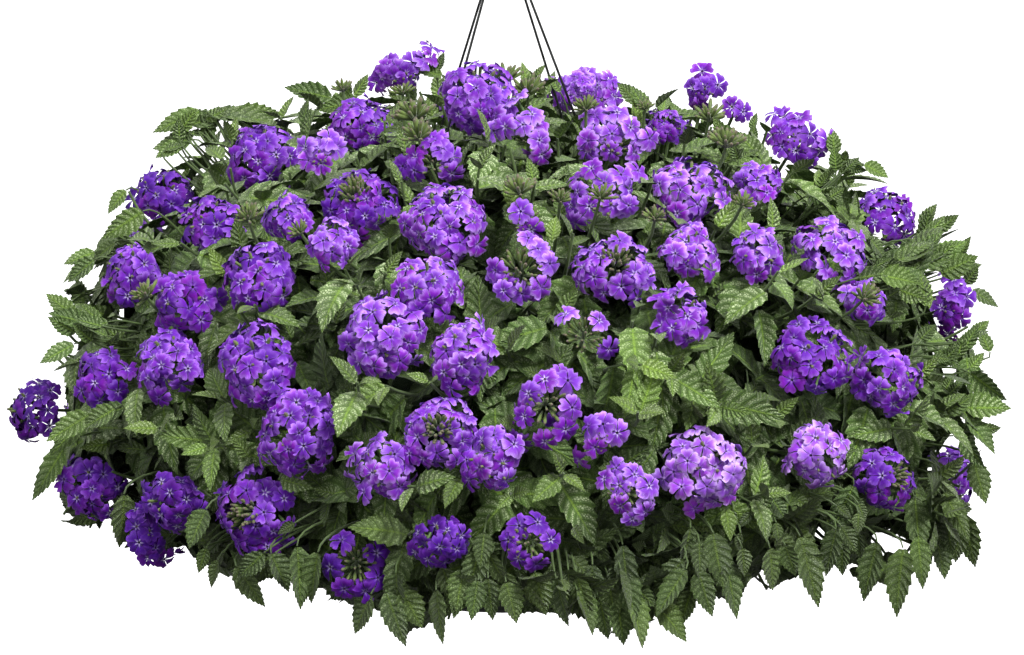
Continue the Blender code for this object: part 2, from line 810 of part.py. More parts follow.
def shoot_body(root, tip, start, levels):
    """A square stem whose sides run out into its leaves, in pairs, as one closed surface.

    Each level is a distance below the tip and its leaves by the side of the stem they grow on."""
    axis = (tip - root).normalized()
    length = (tip - root).length
    frame = upright_frame(root, axis, start)
    points = []
    faces = []

    def ring(height):
        first = len(points)
        for k in range(4):
            points.append(frame @ polar(STEM_RADIUS, math.pi / 2 * k - math.pi / 4, height))
        return [first + k for k in range(4)]

    def quad(a, b, c, d):
        faces.extend([(a, b, c), (a, c, d)])

    below = ring(0.0)
    faces.extend([(below[0], below[2], below[1]), (below[0], below[3], below[2])])
    for under, leaves in levels:
        low = ring(length - under - LEAF_BASE)
        high = ring(length - under)
        for k in range(4):
            after = (k + 1) % 4
            quad(below[k], below[after], low[after], low[k])
            leaf = leaves.get(k)
            if leaf is None:
                quad(low[k], low[after], high[after], high[k])
                continue
            first = len(points)
            points.extend(leaf.corners())
            edge = list(range(first, len(points) - 2))
            above, beneath = len(points) - 2, len(points) - 1
            upper_edge = [high[k], *edge, high[after]]
            lower_edge = [low[after], *reversed(edge), low[k]]
            for rib, loop in ((above, upper_edge), (beneath, lower_edge)):
                for number, corner in enumerate(loop):
                    faces.append((rib, corner, loop[(number + 1) % len(loop)]))
            faces.append((high[k], low[k], edge[0]))
            faces.append((low[after], high[after], edge[-1]))
        below = high
    faces.extend([(below[0], below[1], below[2]), (below[0], below[2], below[3])])
    return points, faces


def facing_out(body):
    """The same body with its faces turned outward, if they aren't."""
    points, faces = body
    volume = sum(points[a].dot(points[b].cross(points[c])) for a, b, c in faces)
    return body if volume > 0 else (points, [(a, c, b) for a, b, c in faces])


def keep_one_body(shape):
    """Drops loose scraps and sealed hollows from a bmesh."""
    bmesh.ops.triangulate(shape, faces=shape.faces)
    left = set(shape.faces)
    islands = []
    while left:
        queue = [left.pop()]
        island = list(queue)
        while queue:
            for edge in queue.pop().edges:
                for face in edge.link_faces:
                    if face in left and edge.is_manifold:
                        left.discard(face)
                        island.append(face)
                        queue.append(face)
        size = 0.0
        for face in island:
            a, b, c = (vertex.co for vertex in face.verts)
            size += a.dot(b.cross(c))
        islands.append((size, island))
    islands.sort(key=lambda entry: entry[0])
    for _, island in islands[:-1]:
        bmesh.ops.delete(shape, geom=island, context="FACES")
    return len(islands) - 1


def fused(name, bodies, into, finish):
    """One object from overlapping closed bodies."""
    spare = collection(name + "_parts")
    pieces = []
    for number, body in enumerate(bodies):
        points, faces = facing_out(body)
        home = into if number == 0 else spare
        pieces.append(mesh_object(f"{name}_piece_{number}", points, faces, home))
    first = pieces[0]
    if len(pieces) > 1:
        union = first.modifiers.new("fuse", "BOOLEAN")
        union.operation = "UNION"
        union.operand_type = "COLLECTION"
        union.collection = spare
        union.solver = "MANIFOLD"
    bpy.context.view_layer.update()
    graph = bpy.context.evaluated_depsgraph_get()
    mesh = bpy.data.meshes.new_from_object(first.evaluated_get(graph))
    shape = bmesh.new()
    shape.from_mesh(mesh)
    dropped = keep_one_body(shape)
    shape.to_mesh(mesh)
    shape.free()
    for piece in pieces:
        bpy.data.objects.remove(piece, do_unlink=True)
    bpy.data.collections.remove(spare)
    mesh.name = name
    mesh.materials.clear()
    mesh.materials.append(finish)
    made = bpy.data.objects.new(name, mesh)
    into.objects.link(made)
    if dropped:
        print(name, "dropped", dropped, "loose scraps")
    return made


def bush_bodies(draw):
    """The dense insides by node name."""
    bodies = {}
    kinds = {"foliage": (BUSH_OUTSIDE, BUSH_INSIDE), "trailing": (TRAIL_OUTSIDE, TRAIL_INSIDE)}
    for quarter, turns in zip(QUARTERS, quarter_turns()):
        for kind, (outside, inside) in kinds.items():
            body = leafy_body(turns, outside, inside, draw)
            for _ in range(MOST_REDRAWS):
                if not crosses_itself(body):
                    break
                body = leafy_body(turns, outside, inside, draw)
            bodies[f"{kind}_{quarter}"] = facing_out(body)
    return bodies


def bush_under(trees, point, inward):
    """The dense inside that a line meets first: its node, the place and its facing."""
    best = None
    for name, tree in trees.items():
        hit, normal, _, far = tree.ray_cast(point, inward)
        if hit and (best is None or far < best[3]):
            best = (name, hit, normal, far)
    return best


def line_gap(start, end, point):
    """How far a point lies from a straight stretch."""
    line = end - start
    part = max(0.0, min(1.0, (point - start).dot(line) / line.length_squared))
    return (point - start - line * part).length


def stalk_is_clear(head, foot, strangers):
    """Whether a stalk passes the wires and the heads of other nodes."""
    route = stalk_route(head, foot)
    for start, end in zip(route, route[1:]):
        steps = 10
        for step in range(steps + 1):
            if wire_distance(start.lerp(end, step / steps)) < STALK_CLEAR + WIRE_RADIUS:
                return False
        for other in strangers:
            if line_gap(start, end, other["at"]) < other["radius"] * 0.9 + STALK_CLEAR:
                return False
    return True


def above_bush(place, facing, radius, tree):
    """Lifts a stalk's foot until its whole end is just clear of the bush."""
    frame = upright_frame(place, facing)
    gaps = []
    for step in range(6):
        corner = frame @ polar(radius, math.pi / 3 * step)
        near, normal, _, _ = tree.find_nearest(corner)
        gaps.append((corner - near).dot(normal))
    return place + facing * max(0.0, CLEAR - min(gaps))


def bloom_bodies(heads, group, foot, facing, draw):
    """The closed bodies of one node: a head on its stalk, or several and the fork they share."""
    if len(group) == 1:
        return [facing_out(head_body(heads[group[0]], foot, facing, draw))]
    fork = foot + facing * 0.010
    parts = [prism(foot, foot + facing * 0.014, FORK_RADIUS)]
    parts += [head_body(heads[k], fork, None, draw) for k in group]
    return [facing_out(part) for part in parts]


def seat_heads(heads, group, trees, draw):
    """The bodies of a node's heads on a stalk that stands just clear of the bush."""
    middle = sum((heads[number]["at"] for number in group), Vector()) / len(group)
    low, high = quarter_turns()[quarter_of(middle)]
    heart = polar(0.10, (low + high) / 2, -0.42)
    strangers = [head for number, head in enumerate(heads) if number not in group]
    radius = STALK_RADIUS if len(group) == 1 else FORK_RADIUS
    last = None
    aside = mound_normal(middle).orthogonal().normalized()
    sways = [(sway, 0.0) for sway in (0.4, 0.8, 1.2, 1.8, 0.1, 2.6, 4.0)]
    sways += [(sway, side) for sway in (0.4, 1.0, 2.0) for side in (-0.3, 0.3, -0.7, 0.7)]
    for sway, side in sways:
        inward = -mound_normal(middle) + (heart - middle).normalized() * sway + aside * side
        inward.normalize()
        found = bush_under(trees, middle, inward)
        if not found:
            continue
        name, hit, normal, _ = found
        foot = above_bush(hit + normal * CLEAR, normal, radius, trees[name])
        bodies = bloom_bodies(heads, group, foot, normal, draw)
        clear = not any(tree.overlap(tree_of(body)) for tree in trees.values() for body in bodies)
        clear = clear and not any(crosses_itself(body) for body in bodies)
        if clear and all(stalk_is_clear(heads[k], foot, strangers) for k in group):
            return bodies
        if clear or last is None:
            last = bodies
    print("no clear stalk for", group)
    return last


def make_blooms(into, heads, groups, trees):
    """A node for each head, or for two or three neighbours on a forked stalk."""
    draw = random.Random(SEED + 1)
    bodies = []
    for number, group in enumerate(groups, 1):
        pale = sum(heads[k]["pale"] for k in group) / len(group)
        colour = [a + (b - a) * pale for a, b in zip(DEEP_PETAL, PALE_PETAL)]
        name = f"bloom_{number:02d}"
        finish = material(f"petals_{number:02d}", colour, PETAL_ROUGHNESS)
        parts = seat_heads(heads, group, trees, draw)
        if len(parts) == 1:
            mesh_object(name, *parts[0], into, finish)
            bodies.append(parts[0])
        else:
            bodies.append(solid_body(fused(name, parts, into, finish)))
    return bodies


def within_mound(points):
    return all(mound_level(point) < 1.03 for point in points)


class Clearance:
    """Knows what already stands in the way, node by node, and whether a new piece clears it."""

    def __init__(self):
        self.standing = []

    @staticmethod
    def ball(points):
        middle = sum(points, Vector()) / len(points)
        return middle, max((point - middle).length for point in points)

    def add(self, body, node=None):
        self.standing.append((tree_of(body), *self.ball(body[0]), node))

    def is_clear(self, body, but=None):
        """True where the body crosses nothing, apart from the node named in but."""
        tree = tree_of(body)
        middle, reach = self.ball(body[0])
        for other, other_middle, other_reach, node in self.standing:
            near = (middle - other_middle).length < reach + other_reach
            if near and (but is None or node != but) and other.overlap(tree):
                return False
        return True


def grow_shoot(root, facing, at, depth, droop, draw, blocked):
    """A stem that stands out of the bush, with pairs of leaves where they clear what is there."""
    outward = (at - root).normalized()
    length = max(0.014, (at - root).length - depth)
    tip = root + outward * length
    if not blocked.is_clear(prism(root + facing * 0.004, tip, STEM_RADIUS + 0.0022, 6)):
        return None
    start = draw.uniform(0.0, math.pi)
    sunk = root - outward * 0.012
    frame = upright_frame(sunk, (tip - sunk).normalized(), start)
    levels = []
    found = []
    for pair in range(LEAF_PAIRS):
        under = 0.001 + pair * min(0.016, length * 0.55)
        opening = math.radians((58.0, 82.0)[pair] + draw.uniform(-6.0, 6.0))
        leaves = {}
        for side in ((0, 2), (1, 3))[pair % 2]:
            away = (frame.to_3x3() @ polar(1.0, math.pi / 2 * side)).normalized()
            base = tip - outward * (under + LEAF_BASE / 2) + away * (0.5 * STEM_RADIUS)
            for attempt in range(14):
                size = draw.uniform(*LEAF_LENGTH) * (1.0 - 0.035 * attempt)
                turn = draw.uniform(-0.08, 0.08) * (1 + attempt)
                spread = Matrix.Rotation(turn, 3, outward) @ away
                along = outward * math.cos(opening) + spread * math.sin(opening)
                along = (along + Vector((0.0, 0.0, -droop))).normalized()
                leaf = Leaf(base, along, outward, size, draw)
                tester = leaf.swollen(0.0006)
                crossed = any(tree_of(tester).overlap(tree_of(other)) for other in found)
                if within_mound(tester[0]) and blocked.is_clear(tester) and not crossed:
                    leaves[side] = leaf
                    found.append(tester)
                    break
        levels.insert(0, (under, leaves))
    if len(found) < 2:
        return None
    body = shoot_body(sunk, tip, start, levels)
    return None if crosses_itself(body) else (body, found)


def make_foliage(into, cores, trees, blooms, hardware):
    """Four plants on their crowns and what trails from each, with shoots all over."""
    draw = random.Random(SEED + 2)
    parts = {name: [body] for name, body in cores.items()}
    blocked = Clearance()
    for name, body in cores.items():
        blocked.add(body, name)
    for body in [*blooms, *hardware]:
        blocked.add(body)
    soil_top = POT_RIM_TOP - SOIL_BELOW_RIM
    for quarter, at in zip(QUARTERS, crown_places()):
        low = Vector((at.x, at.y, soil_top - SOIL_HOLE_DEPTH + CLEAR))
        high = Vector((at.x, at.y, BUSH_INSIDE[-1][1] + 0.012))
        parts[f"foliage_{quarter}"].append(prism(low, high, CROWN_RADIUS, 8))
    leaves = shoots = 0
    for number, direction in enumerate(spiral(SHOOT_SPIRAL)):
        jitter = Vector((draw.uniform(-1, 1), draw.uniform(-1, 1), draw.uniform(-1, 1))) * 0.08
        at = onto_mound((direction + jitter).normalized())
        normal = mound_normal(at)
        found = bush_under(trees, at, -normal)
        if not found or found[3] > 0.11:
            continue
        name, root, facing, _ = found
        droop = 0.15 if at.z > MOUND_MIDDLE else 0.15 + 4.0 * (MOUND_MIDDLE - at.z)
        depth = SHOOT_DEPTHS[number % len(SHOOT_DEPTHS)]
        grown = grow_shoot(root, facing, at, depth, droop, draw, blocked)
        if grown and blocked.is_clear(grown[0], name):
            parts[name].append(grown[0])
            blocked.add(grown[0], name)
            shoots += 1
            leaves += len(grown[1])
    print("shoots", shoots, "leaves", leaves)
    upper = material("leaf_green", *LEAF)
    lower = material("leaf_green_shaded", *LEAF_BELOW)
    for name, bodies in parts.items():
        fused(name, bodies, into, upper if name.startswith("foliage") else lower)


def solid_body(thing):
    """An object's own triangles, as its modifiers leave it."""
    graph = bpy.context.evaluated_depsgraph_get()
    mesh = bpy.data.meshes.new_from_object(thing.evaluated_get(graph))
    mesh.calc_loop_triangles()
    points = [thing.matrix_world @ vertex.co for vertex in mesh.vertices]
    faces = [tuple(triangle.vertices) for triangle in mesh.loop_triangles]
    bpy.data.meshes.remove(mesh)
    return points, faces


def build():
    clear_scene()
    into = collection(NAME)
    cutters = collection(NAME + "_cutters")
    pot = make_pot(into, cutters)
    make_soil(into, cutters)
    make_hook(into)
    make_sleeve(into, cutters)
    make_wires(into)
    bpy.context.view_layer.update()
    cores = bush_bodies(random.Random(SEED + 3))
    trees = {name: tree_of(body) for name, body in cores.items()}
    heads = lay_heads()
    groups = group_heads(heads)
    part_strangers(heads, groups)
    print("heads", len(heads), "in", len(groups), "nodes")
    blooms = make_blooms(into, heads, groups, trees)
    wide_wires = [
        prism(route[1], route[2], 3 * WIRE_RADIUS, 6)
        for route in (wire_route(math.radians(turn)) for turn in WIRE_TURNS)
    ]
    make_foliage(into, cores, trees, blooms, [solid_body(pot), *wide_wires])
    total = 0
    for thing in into.objects:
        count = len(solid_body(thing)[1])
        total += count
        print(thing.name, count)
    print("triangles", total)


build()
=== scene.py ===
# %% [markdown]
# # A verbena in a hanging basket
# A round mound of toothed leaves and domed heads of violet flowers, which hides the pot that it
# grows in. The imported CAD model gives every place. This lesson dresses it: each leaf, floret and
# stem is made of mesh or curve code, and each finish is a material of nodes.

# %% Open the frame
import json
import math
import random

import bpy
import numpy as np
from mathutils import Matrix, Vector


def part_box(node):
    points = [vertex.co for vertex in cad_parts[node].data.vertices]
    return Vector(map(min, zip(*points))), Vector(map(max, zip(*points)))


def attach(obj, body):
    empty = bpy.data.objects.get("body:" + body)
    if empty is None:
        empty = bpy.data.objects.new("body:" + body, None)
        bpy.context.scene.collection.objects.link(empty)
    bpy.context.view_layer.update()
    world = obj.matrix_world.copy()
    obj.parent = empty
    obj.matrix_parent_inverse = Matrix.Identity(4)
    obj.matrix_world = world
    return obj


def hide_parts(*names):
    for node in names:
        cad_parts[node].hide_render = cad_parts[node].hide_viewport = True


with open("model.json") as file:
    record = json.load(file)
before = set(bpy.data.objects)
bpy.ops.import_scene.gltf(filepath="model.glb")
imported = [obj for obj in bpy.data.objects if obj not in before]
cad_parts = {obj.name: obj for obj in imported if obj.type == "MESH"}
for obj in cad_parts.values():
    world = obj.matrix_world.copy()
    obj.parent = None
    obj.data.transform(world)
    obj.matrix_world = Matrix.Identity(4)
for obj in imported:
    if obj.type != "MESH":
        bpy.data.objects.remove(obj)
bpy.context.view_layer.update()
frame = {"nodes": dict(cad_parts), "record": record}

scene = bpy.context.scene

# %% [markdown]
# ## The view
# The photograph looks slightly down on the basket from far away, so its lines hardly draw
# together. A long lens does that: the wider the picture is on the film for its distance, the
# shorter the lens. The camera comes first, because the flower heads are placed by where they show.

# %% Stand the camera where the photograph was taken
SEED = 27
PICTURE = (1024, 655)
PICTURE_MIDDLE = (512.0, 327.5)
PICTURE_PITCH = 0.00078
VIEW_DISTANCE = 4.0
VIEW_TILT = math.radians(12.0)
VIEW_AIM = Vector((0.007, 0.0, -0.375))
VIEW_FORWARD = np.array((0.0, math.cos(VIEW_TILT), -math.sin(VIEW_TILT)))
VIEW_UPWARD = np.array((0.0, math.sin(VIEW_TILT), math.cos(VIEW_TILT)))
VIEW_RIGHT = np.array((1.0, 0.0, 0.0))


def view_from():
    return VIEW_AIM - Vector(VIEW_FORWARD) * VIEW_DISTANCE


camera_data = bpy.data.cameras.new("camera")
camera_data.sensor_fit = "HORIZONTAL"
camera_data.sensor_width = 36.0
camera_data.lens = 36.0 * VIEW_DISTANCE / (PICTURE[0] * PICTURE_PITCH)
camera_data.clip_end = 100.0
camera = bpy.data.objects.new("camera", camera_data)
camera.location = view_from()
camera.rotation_euler = (VIEW_AIM - view_from()).to_track_quat("-Z", "Y").to_euler()
scene.collection.objects.link(camera)
scene.camera = camera
print("lens", round(camera_data.lens, 1), "mm")

# %% [markdown]
# ## The shape of the mound
# The plants grow into one rounded mass, flatter below than above. A rounded box formula gives it:
# the sum of the powers of how far out a point lies, across and up. The same formula says whether a
# leaf sticks out too far, and which way is out. It could be a mesh to measure against, but a
# formula needs no mesh and answers for thousands of points at once.

# %% Measure the mound
MOUND_WIDE = 0.388
MOUND_DEEP = 0.378
MOUND_MIDDLE = -0.441
MOUND_RISE = 0.264
MOUND_DROP = 0.166
UPPER_ROUNDNESS = 2.2
LOWER_ROUNDNESS = 2.6
GOLDEN_ANGLE = math.pi * (3.0 - math.sqrt(5.0))


def mound_level(points, inset=0.0):
    """1 on the mound drawn in by inset, less inside it and more outside."""
    points = np.asarray(points, float)
    across = np.hypot(points[..., 0] / (MOUND_WIDE - inset), points[..., 1] / (MOUND_DEEP - inset))
    above = points[..., 2] > MOUND_MIDDLE
    up = np.abs(points[..., 2] - MOUND_MIDDLE) / (np.where(above, MOUND_RISE, MOUND_DROP) - inset)
    power = np.where(above, UPPER_ROUNDNESS, LOWER_ROUNDNESS)
    return (across**power + up**power) ** (1.0 / power)


def unit(vectors):
    vectors = np.asarray(vectors, float)
    return vectors / np.maximum(np.linalg.norm(vectors, axis=-1, keepdims=True), 1e-12)


def mound_normal(points):
    points = np.asarray(points, float)
    step = np.eye(3) * 0.001
    slopes = [mound_level(points + step[k]) - mound_level(points - step[k]) for k in range(3)]
    return unit(np.stack(slopes, axis=-1))


def onto_mound(directions, inset=0.0):
    """Where lines from the middle of the mound leave it."""
    middle = np.array((0.0, 0.0, MOUND_MIDDLE))
    directions = np.asarray(directions, float)
    near = np.zeros(directions.shape[:-1])
    far = np.ones_like(near)
    for _ in range(30):
        half = (near + far) / 2
        inside = mound_level(middle + directions * half[..., None], inset) < 1.0
        near = np.where(inside, half, near)
        far = np.where(inside, far, half)
    return middle + directions * near[..., None]


def spiral(count):
    """Directions spread evenly over a ball, from its top down."""
    number = np.arange(count)
    height = 1.0 - (2.0 * number + 1.0) / count
    wide = np.sqrt(1.0 - height * height)
    turn = GOLDEN_ANGLE * number
    return np.stack([wide * np.cos(turn), wide * np.sin(turn), height], axis=-1)


print("mound", MOUND_WIDE * 2, "by", MOUND_DEEP * 2, "by", MOUND_RISE + MOUND_DROP)

# %% [markdown]
# ## Where the wires run
# Four thin wires leave the sleeve and end under the pot's rim. Leaves and flowers keep clear of
# them, and the four quarters between them are the four plants. A wire is straight where leaves are
# near, so how far a leaf is from it is one short sum, and no search through a mesh.

# %% Lay the wires' lines
WIRE_RADIUS = 0.001
WIRE_TURNS = (-20.0, 44.0, 136.0, 227.0)
WIRE_NAMES = ("right_front", "right_back", "left_back", "left_front")
QUARTERS = ("right", "back", "left", "front")
POT_RIM_TOP = -0.415
POT_FLANGE = 0.003
RIM_HOLE_RING = 0.1445
WIRE_BEND = 0.0024
SLEEVE_TOP = -0.050
SLEEVE_HEIGHT = 0.020
SLEEVE_HOLE_RING = 0.0042
SLEEVE_HOLE_DEPTH = 0.009
CLEAR = 0.0003
FIRST_STRAIGHT = 0.0015
ABOVE_RIM = 0.004


def polar(radius, turn, height=0.0):
    return Vector((radius * math.cos(turn), radius * math.sin(turn), height))


def wire_ends(turn):
    """Where a wire leaves the sleeve, and where it meets the rim."""
    foot = SLEEVE_TOP - SLEEVE_HEIGHT
    start = polar(SLEEVE_HOLE_RING, turn, foot - FIRST_STRAIGHT)
    return start, polar(RIM_HOLE_RING, turn, POT_RIM_TOP + ABOVE_RIM)


def line_gap(start, end, points):
    """How far points lie from a straight stretch."""
    start, end = np.asarray(start, float), np.asarray(end, float)
    points = np.asarray(points, float)
    line = end - start
    part = np.clip(((points - start) @ line) / (line @ line), 0.0, 1.0)
    return np.linalg.norm(points - start - part[..., None] * line, axis=-1)


def wire_distance(points):
    gaps = [line_gap(*wire_ends(math.radians(turn)), points) for turn in WIRE_TURNS]
    return np.min(gaps, axis=0)


def quarter_turns():
    pairs = []
    for number, turn in enumerate(WIRE_TURNS):
        after = WIRE_TURNS[(number + 1) % 4] + (360.0 if number == 3 else 0.0)
        pairs.append((math.radians(turn), math.radians(after)))
    return pairs


def quarter_of(points):
    """The number of the quarter that each point lies in."""
    points = np.atleast_2d(np.asarray(points, float))
    turn = np.arctan2(points[:, 1], points[:, 0])
    found = np.zeros(len(points), int)
    for number, (low, high) in enumerate(quarter_turns()):
        for lap in (0.0, 2 * math.pi):
            found[(turn + lap >= low) & (turn + lap < high)] = number
    return found


def plant_at(point):
    """The name of the plant in whose quarter a point lies."""
    return QUARTERS[quarter_of(point)[0]]


print("quarters", [round(math.degrees(b - a)) for a, b in quarter_turns()], "degrees wide")

# %% [markdown]
# ## The flower heads
# The heads on the front are placed where the photograph shows them: a line from the camera through
# a place in the picture meets the mound at the head's middle. A rule spreads the rest over the
# sides and the back. These are the CAD model's own places, worked out again here in the same way.

# %% List the heads that show
# Each head's middle in the picture, across and down, its width there, and how pale it shows,
# which is partly its own tint and partly painted light and shade.
SEEN_HEADS = (
    (404, 72, 62, 0.25), (478, 100, 84, 0.60), (528, 135, 48, 0.75), (357, 118, 74, 0.45),
    (318, 152, 54, 0.70), (257, 152, 78, 0.30), (356, 196, 78, 0.20), (433, 160, 66, 0.25),
    (287, 214, 56, 0.75), (330, 239, 52, 0.70), (158, 188, 76, 0.10), (206, 216, 68, 0.30),
    (126, 266, 70, 0.40), (180, 298, 68, 0.15), (255, 271, 76, 0.45), (164, 361, 74, 0.60),
    (252, 361, 88, 0.45), (38, 409, 68, 0.10), (97, 378, 62, 0.10), (295, 430, 86, 0.65),
    (380, 333, 84, 0.70), (86, 489, 70, 0.15), (167, 502, 66, 0.15), (142, 534, 52, 0.05),
    (249, 513, 84, 0.20), (354, 565, 72, 0.15), (380, 468, 66, 0.70), (438, 430, 82, 0.50),
    (491, 460, 66, 0.50), (440, 541, 56, 0.10), (463, 351, 76, 0.50), (447, 216, 86, 0.65),
    (427, 282, 72, 0.50), (526, 219, 52, 0.50), (522, 268, 80, 0.90), (616, 264, 78, 0.50),
    (584, 334, 68, 0.60), (612, 140, 76, 0.75), (603, 197, 72, 0.50), (588, 90, 70, 0.80),
    (692, 183, 78, 0.75), (705, 88, 50, 0.40), (736, 109, 34, 0.50), (796, 140, 66, 0.50),
    (760, 178, 52, 0.50), (668, 122, 44, 0.35), (892, 210, 70, 0.30), (836, 245, 78, 0.70),
    (760, 248, 62, 0.65), (692, 246, 62, 0.85), (684, 312, 62, 0.45), (822, 350, 84, 0.35),
    (868, 298, 56, 0.35), (893, 378, 72, 0.75), (955, 305, 62, 0.30), (822, 455, 70, 0.70),
    (892, 478, 68, 0.20), (709, 466, 86, 0.75), (546, 400, 78, 0.35), (603, 434, 54, 0.40),
    (628, 492, 68, 0.75), (529, 541, 70, 0.40),
)
print("heads that show", len(SEEN_HEADS))

# %% Place the flower heads
UNSEEN_SPIRAL = 120
UNSEEN_SPACING = 0.077
UNSEEN_LOWEST = -0.505
UNSEEN_RADIUS = (0.027, 0.033)
UNSEEN_JITTER = 0.06
BARELY_SEEN = 0.02
LARGEST_HEAD = 0.0325
SMALLEST_HEAD = 0.0160
BALL_OF_WIDTH = 0.96
SMALLEST_AT_A_WIRE = 0.8 * SMALLEST_HEAD
HEAD_WIRE_ROOM = 0.0015
HEAD_BULGE = 1.06
HEAD_LEAN = 0.16
HEAD_LIFT = Vector((0.0, 0.0, 0.18))
SIGHT_STEPS = 400


def seen_at(across, down, inset):
    """The point of the mound that shows at a place in the picture."""
    eye = view_from()
    target = VIEW_AIM + Vector(((across - PICTURE_MIDDLE[0]) * PICTURE_PITCH, 0.0, 0.0))
    target += Vector(VIEW_UPWARD) * ((PICTURE_MIDDLE[1] - down) * PICTURE_PITCH)
    ray = (target - eye).normalized()
    reach = 2 * MOUND_DEEP
    far = VIEW_DISTANCE - reach / 2 + reach * np.arange(SIGHT_STEPS) / SIGHT_STEPS
    line = np.array(eye) + np.array(ray) * far[:, None]
    level = mound_level(line, inset)
    inside = np.nonzero(level <= 1.0)[0]
    return Vector(line[inside[0] if len(inside) else int(np.argmin(level))])


def any_way(draw):
    """A vector whose three parts are each drawn from -1 to 1."""
    return Vector((draw.uniform(-1, 1), draw.uniform(-1, 1), draw.uniform(-1, 1)))


def lay_heads():
    """Each head as its middle, its axis, its radius and how pale it is."""
    draw = random.Random(SEED)
    eye = view_from()
    heads = []
    for across, down, width, pale in SEEN_HEADS:
        radius = min(LARGEST_HEAD, max(SMALLEST_HEAD, width * PICTURE_PITCH / 2 * BALL_OF_WIDTH))
        heads.append([seen_at(across, down, radius), radius, pale])
    for direction in spiral(UNSEEN_SPIRAL):
        radius = draw.uniform(*UNSEEN_RADIUS)
        jitter = any_way(draw) * UNSEEN_JITTER
        at = Vector(onto_mound((Vector(direction) + jitter).normalized(), radius))
        pale = draw.uniform(0.1, 0.8)
        faces_view = Vector(mound_normal(at)).dot((eye - at).normalized()) > BARELY_SEEN
        crowded = any((at - other[0]).length < UNSEEN_SPACING for other in heads)
        if not (faces_view or crowded or at.z < UNSEEN_LOWEST):
            heads.append([at, radius, pale])
    full = [head[1] for head in heads]
    for head in heads:
        room = float(wire_distance(head[0])) - WIRE_RADIUS - HEAD_WIRE_ROOM
        head[1] = max(SMALLEST_AT_A_WIRE, min(head[1], room / HEAD_BULGE))
    laid = []
    for (at, radius, pale), shown in zip(heads, full):
        lean = any_way(draw) * HEAD_LEAN
        axis = (Vector(mound_normal(at)) + HEAD_LIFT + lean).normalized()
        laid.append({"at": at, "axis": axis, "radius": radius, "pale": pale, "full": shown})
    return laid


heads = lay_heads()
print("heads", len(heads), "of which seen", len(SEEN_HEADS))

# %% [markdown]
# ## More heads than the CAD has
# The CAD model can't hold a head everywhere. On the sides and the back smaller heads fill in, so
# that those are as full of flowers as the front. At the top the photograph's heads stand before
# the wires and hide where these go into the bush, so two heads are set there too.

# %% Fill in with smaller heads
FILLING_SPIRAL = 260
FILLING_RADIUS = (0.018, 0.028)
FILLING_INSET = 0.9
FILLING_CLOSE = 0.90
FILLING_LOWEST = -0.53
FILLING_WIRE_ROOM = 0.004
FILLING_LIFT = 0.4
FILLING_PALE = 0.4
FACING_AWAY = -0.36
HEADS_BEFORE_WIRES = ((478, 98, 0.031, 0.60), (584, 88, 0.024, 0.75))
BEFORE_WIRE_INSET = 0.002
BEFORE_WIRE_ROOM = 0.003


def extra_head(at, axis, radius, pale):
    return {"at": at, "axis": axis.normalized(), "radius": radius, "pale": pale, "full": radius}


def filling_heads(heads):
    """Smaller heads between the CAD model's, on the sides that the view doesn't show."""
    draw = random.Random(SEED + 1)
    eye = view_from()
    more = []
    for direction in spiral(FILLING_SPIRAL):
        radius = draw.uniform(*FILLING_RADIUS)
        at = Vector(onto_mound(direction, radius * FILLING_INSET))
        normal = Vector(mound_normal(at))
        hidden = normal.dot((eye - at).normalized()) < FACING_AWAY
        gaps = [(at - other["at"]).length / (radius + other["full"]) for other in heads + more]
        roomy = float(wire_distance(at)) > radius + FILLING_WIRE_ROOM
        if hidden and min(gaps) >= FILLING_CLOSE and at.z > FILLING_LOWEST and roomy:
            lift = Vector((0.0, 0.0, draw.uniform(0.0, FILLING_LIFT)))
            more.append(extra_head(at, normal + lift, radius, FILLING_PALE))
    return more


def heads_before_wires():
    """The heads at the top that hide the wires' lower ends, turned half way to the view."""
    made = []
    for across, down, radius, pale in HEADS_BEFORE_WIRES:
        at = seen_at(across, down, BEFORE_WIRE_INSET)
        radius = min(radius, float(wire_distance(at)) - BEFORE_WIRE_ROOM)
        axis = Vector(mound_normal(at)) + (view_from() - at).normalized()
        made.append(extra_head(at, axis, radius, pale))
    return made


more_heads = filling_heads(heads) + heads_before_wires()
print("heads that fill the sides, the back and the top", len(more_heads))

# %% [markdown]
# ## Which heads share a node
# The CAD model joins near neighbours into one node on a forked stalk, since a part may have only
# so many nodes. The same rule is followed here, so each group of florets stands for exactly one
# node. The last line measures how well the worked out places fit the CAD's own boxes.

# %% Group the heads as the CAD does
BLOOM_NODES = 43
TURNED_TO_VIEW = 0.60
MOST_HEADS_A_NODE = 3
WIDEST_NODE = 0.120
PARTING_ROUNDS = 3
PARTING_BULGE = 1.07
PARTING_GAP = 0.0006


def group_heads(heads):
    groups = [[number] for number in range(len(heads))]
    owner = quarter_of([tuple(head["at"]) for head in heads])
    pairs = []
    for first in range(len(heads)):
        for second in range(first):
            apart = (heads[first]["at"] - heads[second]["at"]).length
            touching = apart - heads[first]["radius"] - heads[second]["radius"]
            if owner[first] == owner[second] and apart < WIDEST_NODE:
                pairs.append((touching, first, second))
    for touching, first, second in sorted(pairs):
        if len(groups) <= BLOOM_NODES and touching > 0.0:
            break
        mine = next(group for group in groups if first in group)
        other = next(group for group in groups if second in group)
        if mine is not other and len(mine) + len(other) <= MOST_HEADS_A_NODE:
            groups.remove(other)
            mine.extend(other)
    return sorted(groups, key=lambda group: group[0])


